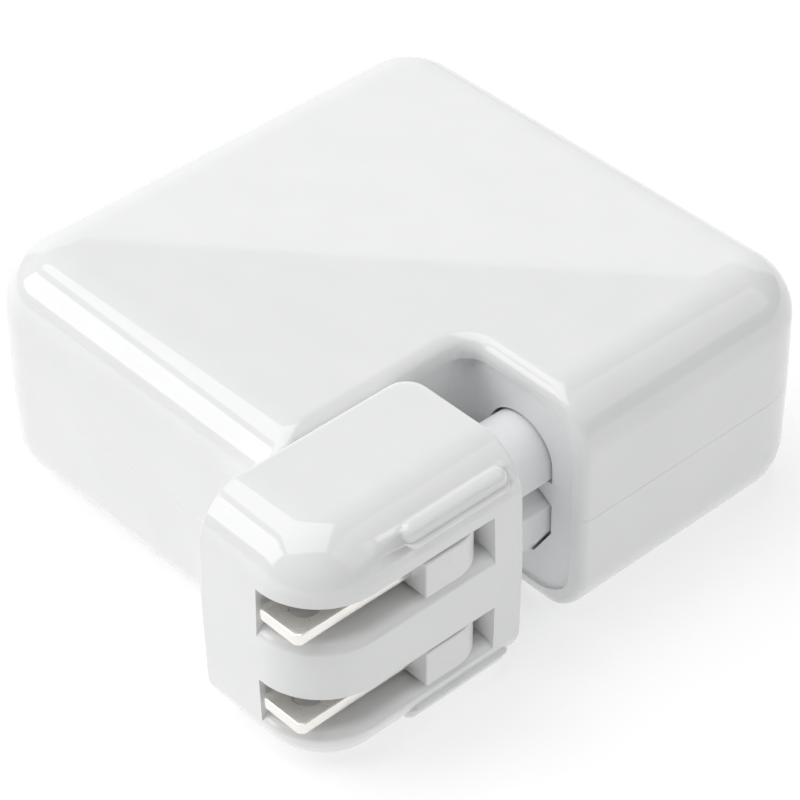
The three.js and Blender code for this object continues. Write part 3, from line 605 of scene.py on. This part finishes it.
def side_profile(height, radius, start, steps):
    """(drawn in, height) pairs up a leaning side and over its rolled edge, from mid height."""
    centre_z = height - radius
    start_z = centre_z + radius * math.sin(lean)
    start_e = start + (start_z - mid_z) * math.tan(lean)
    centre_e = start_e + radius * math.cos(lean)
    pairs = [(start_e, start_z)]
    for k in range(1, steps + 1):
        a = lean + (math.pi / 2 - lean) * k / steps
        pairs.append((centre_e - radius * math.cos(a), centre_z + radius * math.sin(a)))
    return pairs


def lip_back(z):
    """How far the notch's rolled edge has drawn back at this height."""
    over = z - (top - lip_r)
    return 0.0 if over <= 0 else lip_r - math.sqrt(max(0.0, lip_r**2 - over**2))


# %% [markdown]
# The lower half is the upper half turned over, so one function makes both and mirrors the heights
# for the lower one. The chain of rings starts at the middle of the inner ceiling, comes down the
# inner wall, turns at the seam and climbs the outer wall, which leaves a real wall thickness.

# %% Make both halves


def half_shell(name, flip):
    flat_step = 0.7  # one more ring on the flat top, so that its cap shades flat
    outer = [(seam_in, mid_z + seam), (0.0, mid_z + seam + seam_up)]
    outer += side_profile(top, edge_r, 0.0, 22)
    inner = [(wall, mid_z + seam)]
    inner += side_profile(top - wall, edge_r - wall, wall, 10)
    rings = [brick_ring(e, wall, z, inside=True) for e, z in reversed(inner)]
    rings += [brick_ring(e, lip_back(z), z) for e, z in outer]
    crown_e, crown_z = outer[-1]
    rings.append(brick_ring(crown_e + flat_step, lip_r + flat_step, crown_z))
    if flip:
        rings = [[(x, y, bottom + top - z) for x, y, z in row] for row in rings]
    return stack(name, rings)


upper_half = half_shell("upper_half", False)
lower_half = half_shell("lower_half", True)
print("halves:", len(upper_half.data.vertices), "and", len(lower_half.data.vertices), "points")

# %% [markdown]
# Below a narrow glossy band, the notch is let back: its side wall steps in by a fraction of a
# millimetre, and its end wall is open, with the mains inlet's matt face behind. One cutting body
# does both. Its section has large corners on the outer side, because the shell is rounded there.

# %% Cut the inlet recess, the stud's hole and the port's hole
recess_x0, recess_x1 = 15.3, 32.0
recess_z0, recess_z1 = 2.4, 28.9
recess_y0, recess_y1 = front + 2.6, 0.5
tight_r, lower_r, upper_r = 0.5, 4.8, 5.2


def recess_outline(inset):
    x0, x1 = recess_x0 + inset, recess_x1 - inset
    z0, z1 = recess_z0 + inset, recess_z1 - inset
    return ring(
        [(x0, z0, tight_r, 4), (x1, z0, lower_r, 12), (x1, z1, upper_r, 12), (x0, z1, tight_r, 4)]
    )


def recess_body():
    return stack("recess", [at_depth(recess_outline(0), y) for y in (recess_y0, recess_y1)])


def circle(centre_a, centre_b, radius, steps):
    """Points round a circle, for a drill or a turned part."""
    turns = [2 * math.pi * k / steps for k in range(steps)]
    return [(centre_a + radius * math.cos(t), centre_b + radius * math.sin(t)) for t in turns]


def round_bar(name, centre_a, centre_b, radius, start, end, along, steps=32):
    """A plain round cutting body along one axis."""
    outline = circle(centre_a, centre_b, radius, steps)
    return stack(name, [along(outline, start), along(outline, end)])


stud_low, stud_high = box_mm("ground_stud")
stud_y = (stud_low[1] + stud_high[1]) / 2
stud_hole_r = 1.8
port_low, port_high = box_mm("port_shell")
port_gap = 0.12


def oval(grow):
    """The port's flat oval, grown all round; its ends are a hair under a half circle."""
    steps = 16
    r = (port_high[2] - port_low[2]) / 2 + grow - 0.001
    y0, y1 = port_low[1] - grow, port_high[1] + grow
    z0, z1 = port_low[2] - grow, port_high[2] + grow
    return ring([(y1, z1, r, steps), (y0, z1, r, steps), (y0, z0, r, steps), (y1, z0, r, steps)])


for half in (upper_half, lower_half):
    stud_span = (notch_x - wall - 1, notch_x + 1)
    stud_hole = round_bar("stud_hole", stud_y, mid_z, stud_hole_r, *stud_span, at_side)
    port_span = (left - 1, left + wall + 1)
    port_hole = stack("port_hole", [at_side(oval(port_gap), x) for x in port_span])
    cut(half, recess_body(), stud_hole, port_hole)

dress(upper_half, gloss_white, "gloss_white", "brick", "upper_shell")
dress(lower_half, gloss_white, "gloss_white", "brick", "lower_shell")

# %% [markdown]
# ## The mains inlet
# In the notch's end wall sits the inlet: a matt face with a socket shaped so that the plug head's
# nose fits only one way up. The face is nearly flat. It comes forward a third of a millimetre
# towards the top, and it sweeps round to the notch's side wall on a fillet that widens downwards.
# It is made by filling the opening, then taking away the air in front.

# %% The inlet's face
inlet_x = (box_mm("inlet_pin_upper")[0][0] + box_mm("inlet_pin_upper")[1][0]) / 2
pin_z = [sum(box_mm(n)[i][2] for i in (0, 1)) / 2 for n in ("inlet_pin_upper", "inlet_pin_lower")]
lobe = (pin_z[0] - pin_z[1]) / 2
nose_r = 4.6
inlet_face = -3.6
foot_r = 0.4  # the fillet along the face's lower edge
side_r_top, side_r_most, side_r_gain = 1.2, 4.0, 0.33  # the fillet at the side wall
slope_start, slope_soft, slope_run = 18.4, 1.5, 0.03


def face_depth(x, z):
    """The Y at which the inlet's face lies, at one place on it."""
    past = z - slope_start
    if past < -slope_soft:
        rise = 0.0
    elif past < slope_soft:
        rise = (past + slope_soft) ** 2 / (4 * slope_soft)
    else:
        rise = past
    depth = inlet_face - slope_run * rise
    side_r = min(side_r_most, side_r_top + side_r_gain * (recess_z1 - z))
    near = 1 - (x - recess_x0) / side_r
    if near > 0:
        depth -= side_r * (1 - math.sqrt(max(0.0, 1 - near**2)))
    low = foot_r - (z - recess_z0)
    if low > 0:
        depth -= foot_r - math.sqrt(max(0.0, foot_r**2 - low**2))
    return depth


def air_in_front():
    """The space before the face, with more rows where its fillets bend."""
    reach = 0.6
    bend = 4.2
    in_front = -12
    across = [recess_x0 + bend * (1 - math.cos(math.pi / 2 * k / 14)) for k in range(15)]
    across[0] = recess_x0 + 0.001
    across += [across[-1] + (recess_x1 + reach - across[-1]) * k / 12 for k in range(1, 13)]
    up = [recess_z0 + foot_r * (1 - math.cos(math.pi / 2 * k / 6)) for k in range(7)]
    up += [up[-1] + (recess_z1 + reach - up[-1]) * k / 36 for k in range(1, 37)]
    rings = []
    for z in up:
        row = [(x, face_depth(x, z), z) for x in across]
        row += [(recess_x1 + reach, in_front, z), (recess_x0 + 0.001, in_front, z)]
        rings.append(row)
    return stack("air", rings)


print("inlet face", round(face_depth(inlet_x, mid_z), 2), "at mid height")
print("and", round(face_depth(inlet_x, recess_z1), 2), "at the top")

# %% The nose's section, which the socket copies


def nose_outline(grow):
    """A round lobe above and a chamfered one below, with a waist between them."""
    side, waist = nose_r + grow, nose_r * 0.4 + grow
    under = lobe - nose_r * 0.41 - grow
    shoulder = -lobe + nose_r * 0.67 + grow / 2
    bevel_end = -lobe - nose_r * 0.13 - grow / 2
    foot, low = nose_r * 0.48 + grow / 2, -lobe - nose_r - grow
    neck = shoulder + (side - waist) * 0.65
    dome_turns = [math.pi * k / 32 for k in range(33)]
    dome = [(side * math.cos(t), lobe + side * math.sin(t)) for t in dome_turns]
    left_side = [
        (-side, under),
        (-waist, under),
        (-waist, neck),
        (-side, shoulder),
        (-side, bevel_end),
        (-foot, low),
    ]
    right_side = [(-x, z) for x, z in reversed(left_side)]
    return [(inlet_x + x, mid_z + z) for x, z in dome + left_side + right_side]


print("nose section:", len(nose_outline(0)), "points")

# %% [markdown]
# The inlet is one moulding: the block that fills the opening, a flange behind the shell that holds
# it in, and a round-cornered socket at the back. The nose's own section, grown by a small gap, is
# cut out of it, so that the nose always fits.

# %% Build the inlet
inlet_back = box_mm("inlet_housing")[1][1]
socket_wall, socket_play, socket_r = 1.8, 0.5, 3
socket_end = inlet_back - socket_wall
socket_half_x = nose_r + socket_play + socket_wall
socket_half_z = lobe + nose_r + socket_play + socket_wall
nose_gap = 0.35
block_span = (notch_y - 3.6, 0.3)
flange_span = (notch_y + 1.0, 0.31)


def rounded_box(x0, x1, z0, z1, r, steps):
    """An upright rectangle with the same radius at each corner."""
    return ring([(x0, z0, r, steps), (x1, z0, r, steps), (x1, z1, r, steps), (x0, z1, r, steps)])


inlet = stack("inlet", [at_depth(recess_outline(0.01), y) for y in block_span])
flange_ring = ring(
    [
        (recess_x0 - 0.6, recess_z0 - 0.5, 1, 3),
        (recess_x1 - 0.2, recess_z0 - 0.5, 5, 8),
        (recess_x1 - 0.2, recess_z1 - 0.1, 5, 8),
        (recess_x0 - 0.6, recess_z1 - 0.1, 1, 3),
    ]
)
flange = stack("flange", [at_depth(flange_ring, y) for y in flange_span])
socket_ring = rounded_box(
    inlet_x - socket_half_x,
    inlet_x + socket_half_x,
    mid_z - socket_half_z,
    mid_z + socket_half_z,
    socket_r,
    5,
)
socket = stack("socket", [at_depth(socket_ring, y) for y in (0.0, inlet_back)])
join(inlet, flange, socket)
nose_room = stack("nose_room", [at_depth(nose_outline(nose_gap), y) for y in (-6, socket_end)])
cut(inlet, air_in_front(), nose_room)
dress(inlet, inlet_plastic, "inlet_plastic", "brick", "inlet_housing")

# %% [markdown]
# ## Turned parts
# The two inlet pins and the ground stud are turned on a lathe: a profile of radius against length,
# swept round an axis. Each step of the profile is a ring, so the same stacking helper makes them.

# %% Pins
middle_r = 0.02  # a turned profile starts a hair off its axis, so its cap is a real face


def turned(name, profile, centre, along, steps=40):
    """profile is (radius, distance) pairs; along says which way the axis runs."""
    a, b = centre
    rings = []
    for r, d in profile:
        rings.append(along(circle(a, b, r, steps), d))
    return stack(name, rings)


def rounded_end(r, ease_r, start, forward):
    """The profile of an end with a rounded rim, from its middle outwards."""
    steps = 5
    pairs = [(middle_r, start)]
    for k in range(steps + 1):
        t = math.pi / 2 * k / steps
        across = r - ease_r + ease_r * math.sin(t)
        pairs.append((across, start + forward * ease_r * (1 - math.cos(t))))
    return pairs


pin_r, pin_nose_r, pin_tail_r = 1.2, 1.1, 0.2
for name, z in zip(("inlet_pin_upper", "inlet_pin_lower"), pin_z):
    low, high = box_mm(name)
    profile = rounded_end(pin_r, pin_nose_r, low[1], 1)
    profile += rounded_end(pin_r, pin_tail_r, high[1], -1)[::-1]
    pin = turned(name + "_fine", profile, (inlet_x, z), at_depth)
    dress(pin, nickel, "nickel", "brick", name)

# %% The ground stud
tail_end, head_face = stud_low[0], stud_high[0]
shaft_r, collar_r, button_r = 1.5, 2.5, 4.5
collar_start, under_button = notch_x + 0.3, head_face - 1.0
stud_profile = rounded_end(shaft_r, 0.3, tail_end, 1)
stud_profile += [(shaft_r, collar_start), (collar_r, collar_start), (collar_r, under_button)]
stud_profile += [(button_r - 0.15, under_button), (button_r, under_button + 0.15)]
stud_profile += rounded_end(button_r, 0.4, head_face, -1)[::-1]
stud = turned("ground_stud_fine", stud_profile, (stud_y, mid_z), at_side, steps=56)
dress(stud, steel, "steel", "brick", "ground_stud")

# %% [markdown]
# ## The plug head's housing
# The housing is the brick's missing corner, so its outer sides use the same lean and the same
# rolled edge. Its two hidden sides are upright with a small rolled edge. Two pockets for the blades
# are cut in from the outer corner, and their mouths are eased so that they don't look knife-cut.

# %% Sizes and one ring of the plug head
head_lip_r = 0.7
outer_end_r = 0.45  # upright edge at the seat end, on the outside
inner_end_r = 2.7  # upright edge at the seat end, in the notch's corner
inner_front_r = 0.3  # upright edge that meets the brick's front


def head_ring(drawn_in, eased, z, inset=0.0):
    e, f = drawn_in + inset, eased + inset
    return at_height(
        ring(
            [
                (right - e, seat_y - f, max(0.3, outer_end_r - inset), 6),
                (seat_x + f, seat_y - f, max(0.5, inner_end_r - inset), 8),
                (seat_x + f, head_front + e, max(0.25, inner_front_r - inset), 5),
                (right - e, head_front + e, corner_r - e, 24),
            ]
        ),
        z,
    )


def head_body(name):
    pocket_mouth = 25.3  # rings lower than this would cross the upper pocket's eased edge
    flat_step = 0.6
    pairs = [(e, z) for e, z in side_profile(top, edge_r, 0.0, 22) if z > pocket_mouth]
    upper = [head_ring(0.0, 0.0, mid_z)]
    for e, z in pairs:
        over = z - (top - head_lip_r)
        f = 0.0 if over <= 0 else head_lip_r - math.sqrt(max(0.0, head_lip_r**2 - over**2))
        upper.append(head_ring(e, f, z))
    e, z = pairs[-1]
    upper.append(head_ring(e + flat_step, head_lip_r + flat_step, z))
    lower = [[(x, y, bottom + top - z) for x, y, z in row] for row in upper[1:]]
    return stack(name, lower[::-1] + upper)


print("plug head:", round(right - seat_x, 2), "wide,", round(seat_y - head_front, 2), "long")

# %% The pockets for the blades
hub_low, hub_high = box_mm("blade_hub_upper")
blade_low = box_mm("blade_upper")[0]
pin_low, pin_high = box_mm("hinge_pin")
hinge_x, hinge_y = (pin_low[0] + pin_high[0]) / 2, (pin_low[1] + pin_high[1]) / 2
blade_z = [(box_mm(n)[0][2] + box_mm(n)[1][2]) / 2 for n in ("blade_upper", "blade_lower")]
slot_height, hub_r = 5.35, 4.8
pocket_x = blade_low[0] - 0.4
bowl_r = hub_r + 0.4
pocket_end = hinge_y + hub_r + 0.5
pocket_corner_r = 0.8
clear_x, clear_y = 45, -60  # well outside the plug head


def pocket_outline(grow):
    """A straight floor beside the blade, a bowl for the hub, and an open corner outwards."""
    floor_x, end_y, r = pocket_x - grow, pocket_end + grow, bowl_r + grow
    reach = math.acos((hinge_x - floor_x) / r)
    bulge = []
    for k in range(13):
        a = math.pi - reach + 2 * reach * k / 12
        bulge.append((hinge_x + r * math.cos(a), hinge_y + r * math.sin(a)))
    corner = []
    for t in (0, 0.39, 0.79, 1.18, 1.57):
        x = floor_x + pocket_corner_r - pocket_corner_r * math.sin(t)
        corner.append((x, end_y - pocket_corner_r + pocket_corner_r * math.cos(t)))
    return [(clear_x, end_y), *corner, *bulge, (floor_x, clear_y), (clear_x, clear_y)]


def pocket(z, grow=0.0):
    half = slot_height / 2 + grow
    return stack("pocket", [at_height(pocket_outline(grow), h) for h in (z - half, z + half)])


print("pockets", slot_height, "high at", [round(z, 2) for z in blade_z])

# %% [markdown]
# The lower lip of each pocket rolls over softly. The bite that makes it is the pocket's own
# outline, carried a little below the pocket's floor, less a core whose sides curve in towards that
# floor. The small lengths added at each end keep two bodies from ending on the same plane, which
# would leave the cut unsure of what is inside.

# %% Soft lower lips
lip_round = 1.6


def soft_lip(floor_z):
    span = (floor_z - lip_round + 0.01, floor_z + 0.4)
    bite = stack("bite", [at_height(pocket_outline(0), h) for h in span])
    rings = [head_ring(-0.02, 0, floor_z - lip_round - 0.5)]
    for k in range(9):
        t = math.pi / 2 * k / 8
        h = floor_z - lip_round * (1 - math.sin(t))
        leaned = abs(h - mid_z) * math.tan(lean)
        rings.append(head_ring(leaned - 0.005, 0, h, lip_round * (1 - math.cos(t))))
    rings.append(head_ring(0, 0, floor_z + 0.8, lip_round))
    return cut(bite, stack("core", rings))


print("lips rolled over by", lip_round)

# %% [markdown]
# The finger ridge on each rounded edge is a round bar with a thin ledge under it, where a nail can
# catch. Its section is drawn round the centre of the rounded edge, as an angle from the flat face
# and a distance from that centre. The section is swept along the edge and drawn in to a point near
# each end, which gives the rounded tips.

# %% Finger ridges
ridge_low, ridge_high = -29.2, -14.3
ridge_tip = 1.35
bar_lean, bar_out, bar_r = math.radians(52.7), 6.38, 1.36
bar_foot = (41.0, 6.3)
bar_start, bar_sweep = -88, 143
ledge_section = [
    (62.4, 7.25),
    (63.4, 7.38),
    (64.6, 7.56),
    (65.6, 7.66),
    (66.3, 7.64),
    (66.9, 7.5),
    (67.6, 7.05),
    (67.8, 6.3),
]


def bar_section():
    """Angle and distance pairs round the bar, from its upper foot to its lower one."""
    pairs = [bar_foot]
    for k in range(19):
        turn = math.radians(bar_start + bar_sweep * k / 18)
        out, along = bar_out + bar_r * math.cos(turn), bar_r * math.sin(turn)
        pairs.append((math.degrees(bar_lean + math.atan2(along, out)), math.hypot(out, along)))
    return pairs


def ridge(flip):
    """Each station along the ridge is a place and how much of the full section it has there."""
    centre_x, centre_z = right - edge_r, top - edge_r
    root_a, root_d = math.radians(54), 6.5
    root = (centre_x + root_d * math.sin(root_a), centre_z + root_d * math.cos(root_a))
    section = []
    for degrees, d in bar_section() + ledge_section:
        a = math.radians(degrees)
        section.append((centre_x + d * math.sin(a), centre_z + d * math.cos(a)))
    stations = []
    for k in range(8, -1, -1):
        t = math.pi / 2 * k / 8
        stations.append((ridge_low + ridge_tip * (1 - math.sin(t)), max(math.cos(t), 0.02)))
    stations += [(ridge_high + ridge_low - y, s) for y, s in stations[::-1]]
    rings = []
    for y, s in stations:
        row = [(root[0] + (x - root[0]) * s, y, root[1] + (z - root[1]) * s) for x, z in section]
        rings.append([(x, y2, bottom + top - z if flip else z) for x, y2, z in row])
    return stack("ridge", rings)


print("ridge from", ridge_low, "to", ridge_high)

# %% [markdown]
# The housing is hollow. Its room is the same outline drawn in by the wall, less a thin box left
# round each pocket, and it opens at the end that the cover closes. The ridges are joined last, so
# their thin ledges stay crisp.

# %% Make the housing
head_wall = 2.0
room_x = 18.9
room_corner_r = 0.5
room_roll = edge_r - head_wall
pocket_wall = 1.2


def room_ring(drawn_in, z):
    outer_x = right - head_wall - drawn_in
    outer_y = head_front + head_wall + drawn_in
    corners = [
        (outer_x, seat_y + 2, room_corner_r, 3),
        (room_x, seat_y + 2, room_corner_r, 3),
        (room_x, outer_y, room_corner_r, 3),
        (outer_x, outer_y, corner_r - head_wall - drawn_in * 0.7, 10),
    ]
    return at_height(ring(corners), z)


housing = head_body("housing")
steps_up = []
for k in range(7):
    t = math.pi / 2 * k / 6
    steps_up.append((room_roll * (1 - math.cos(t)), top - edge_r + room_roll * math.sin(t)))
steps_down = [(e, bottom + top - z) for e, z in reversed(steps_up)]
room = stack("room", [room_ring(e, z) for e, z in steps_down + steps_up])
cut(room, *[pocket(z, pocket_wall) for z in blade_z])
cut(housing, *[pocket(z) for z in blade_z], *[soft_lip(z - slot_height / 2) for z in blade_z])
ease(housing, 0.3, 3, 50)
cut(housing, room)
join(housing, ridge(False), ridge(True))
dress(housing, gloss_white, "gloss_white", "plug_head", "plug_housing", sharp=35)

# %% [markdown]
# ## Cover and nose
# The cover is a matt plate in the housing's open end. The nose stands on it: a round lobe above a
# chamfered one, so it can't go into the socket upside down. Two brass sleeves run through it.

# %% Make the cover
nose_end = box_mm("plug_cover")[1][1]
plate_x0, plate_inset, plate_r = 19.0, 2.1, 5
sleeve_r, sleeve_bore_r, sleeve_gap = 2.0, 1.35, 0.05
plate_ring = rounded_box(
    plate_x0, right - plate_inset, bottom + plate_inset, top - plate_inset, plate_r, 8
)
plate = stack("plate", [at_depth(plate_ring, y) for y in (seat_y - 2.0, seat_y - 0.01)])
nose = stack("nose", [at_depth(nose_outline(0), y) for y in (seat_y - 1.0, nose_end - 0.001)])
join(plate, nose)
ease(plate, 0.25, 3, 35)
bore_span = (seat_y - 4, nose_end + 2)
for z in pin_z:
    cut(plate, round_bar("bore", inlet_x, z, sleeve_r + sleeve_gap, *bore_span, at_depth, 40))
dress(plate, inlet_plastic, "inlet_plastic", "plug_head", "plug_cover")

# %% The contact sleeves
for name, z in zip(("contact_sleeve_upper", "contact_sleeve_lower"), pin_z):
    low, high = box_mm(name)
    bore_floor = low[1] + 2.6
    sleeve_profile = [
        (middle_r, low[1]),
        (sleeve_r, low[1]),
        (sleeve_r, high[1] - 0.2),
        (sleeve_r - 0.15, high[1]),
        (sleeve_bore_r + 0.15, high[1]),
        (sleeve_bore_r, high[1] - 0.15),
        (sleeve_bore_r, bore_floor),
        (middle_r, bore_floor),
    ]
    sleeve = turned(name + "_fine", sleeve_profile, (inlet_x, z), at_depth)
    dress(sleeve, brass, "brass", "plug_head", name)

# %% [markdown]
# ## Blades and hubs
# Each blade is stamped from sheet and nickel plated: chamfered tip, a round hole near it, and edges
# softened by tumbling. It is moulded into a plastic hub, round at the back so it can turn in its
# pocket and flat on the faces that show when it is folded or open.

# %% Make the hubs
hub_square = hub_r - 0.2
round_back = math.radians(205)


def hub_outline():
    turns = [round_back * k / 40 for k in range(41)]
    arc = [(hinge_x + hub_r * math.cos(t), hinge_y + hub_r * math.sin(t)) for t in turns]
    return [(right - 0.02, hinge_y - hub_square), *arc, (blade_low[0], hinge_y - hub_square)]


for name, z in zip(("blade_hub_upper", "blade_hub_lower"), blade_z):
    half = (hub_high[2] - hub_low[2]) / 2
    hub = stack(name + "_fine", [at_height(hub_outline(), h) for h in (z - half, z + half)])
    ease(hub, 0.22, 3, 40)
    dress(hub, satin_white, "satin_white", "blade_rotor", name)

# %% Make the blades
tip_cut = 0.55
hole_r, hole_from_tip = 1.6, 3.7
blade_root = hinge_y - 2.5
for name, z in zip(("blade_upper", "blade_lower"), blade_z):
    low, high = box_mm(name)
    plan = [
        (high[0], blade_root),
        (low[0], blade_root),
        (low[0], low[1] + tip_cut),
        (low[0] + tip_cut, low[1]),
        (high[0] - tip_cut, low[1]),
        (high[0], low[1] + tip_cut),
    ]
    blade = stack(name + "_fine", [at_height(plan, h) for h in (low[2] + 0.001, high[2] - 0.001)])
    hole_x, hole_y = (low[0] + high[0]) / 2, low[1] + hole_from_tip
    cut(blade, round_bar("hole", hole_x, hole_y, hole_r, low[2] - 1, high[2] + 1, at_height, 48))
    ease(blade, 0.28, 2, 40)
    dress(blade, nickel, "nickel", "blade_rotor", name, sharp=25)

# %% [markdown]
# ## Output port
# The port is a drawn sleeve of plated steel with a rolled mouth, and inside it a black tongue that
# carries the contacts on its two faces. The sleeve is a looped stack: its rings run out along the
# inside, over the mouth and back along the outside, which gives the thin metal both its faces.

# %% Make the port
port_x0, port_x1 = port_low[0], port_high[0]
port_rings = [
    at_side(oval(-0.3), port_x1),
    at_side(oval(-0.3), port_x0 + 0.25),
    at_side(oval(-0.22), port_x0 + 0.06),
    at_side(oval(-0.12), port_x0),
    at_side(oval(-0.04), port_x0 + 0.05),
    at_side(oval(0), port_x0 + 0.2),
    at_side(oval(0), port_x1),
]
port_sleeve = stack("port_sleeve", port_rings, looped=True)
dress(port_sleeve, nickel, "nickel", "brick", "port_shell")

# %% The tongue
half_width, half_thick = 3.35, 0.35
tongue_low, tongue_high = box_mm("port_tongue")
tongue_ring = ring(
    [
        (half_width, mid_z - half_thick, 0.3, 4),
        (half_width, mid_z + half_thick, 0.3, 4),
        (-half_width, mid_z + half_thick, 0.3, 4),
        (-half_width, mid_z - half_thick, 0.3, 4),
    ]
)
tongue = stack("tongue", [at_side(tongue_ring, x) for x in (tongue_low[0], tongue_high[0] - 0.3)])
plug_span = (tongue_high[0] - 1.8, tongue_high[0])
join(tongue, stack("root", [at_side(oval(-0.32), x) for x in plug_span]))
ease(tongue, 0.1, 2, 40)
dress(tongue, black_epoxy, "black_epoxy", "brick", "port_tongue")

# %% [markdown]
# ## The parts inside
# The parts that stay as the working model has them are metal, ceramic, board and tape. They keep
# their shapes and get the finishes made above.

# %% Finish the carried-over parts
inside_finishes = {
    "steel": (steel, ["stud_nut", "ground_clip", "detent_spring", "hinge_pin"]),
    "brass": (brass, ["contact_strip_upper", "contact_strip_lower"]),
    "copper": (
        copper,
        ["ground_strap", "choke_winding_a", "choke_winding_b", "boost_coil_winding"],
    ),
    "aluminium": (
        aluminium,
        ["lower_heat_spreader", "upper_heat_spreader", "primary_heat_sink", "secondary_heat_sink"],
    ),
    "board_green": (board_green, ["main_board", "port_board"]),
    "ferrite": (ferrite, ["choke_core", "transformer_core", "boost_coil_core"]),
    "black_epoxy": (
        black_epoxy,
        [
            "bridge_rectifier",
            "switch_transistor",
            "output_rectifier",
            "optocoupler",
            "controller_chip",
            "port_header",
        ],
    ),
    "yellow_tape": (yellow_tape, ["transformer_winding"]),
    "sleeve_black": (sleeve_black, ["bulk_capacitor", "output_capacitor_1", "output_capacitor_2"]),
    "film_box": (film_box, ["filter_capacitor"]),
    "ceramic_blue": (ceramic_blue, ["safety_capacitor", "fuse"]),
    "fish_paper": (fish_paper, ["insulating_sheet"]),
    "wire_white": (wire_white, ["inlet_lead_upper", "inlet_lead_lower"]),
}
for slot_name, (material, names) in inside_finishes.items():
    for name in names:
        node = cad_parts[name]
        if not node.material_slots:
            node.data.materials.append(material)
        for held in node.material_slots:
            held.link = "OBJECT"
            held.material = material
    print(slot_name, "on", len(names), "parts")
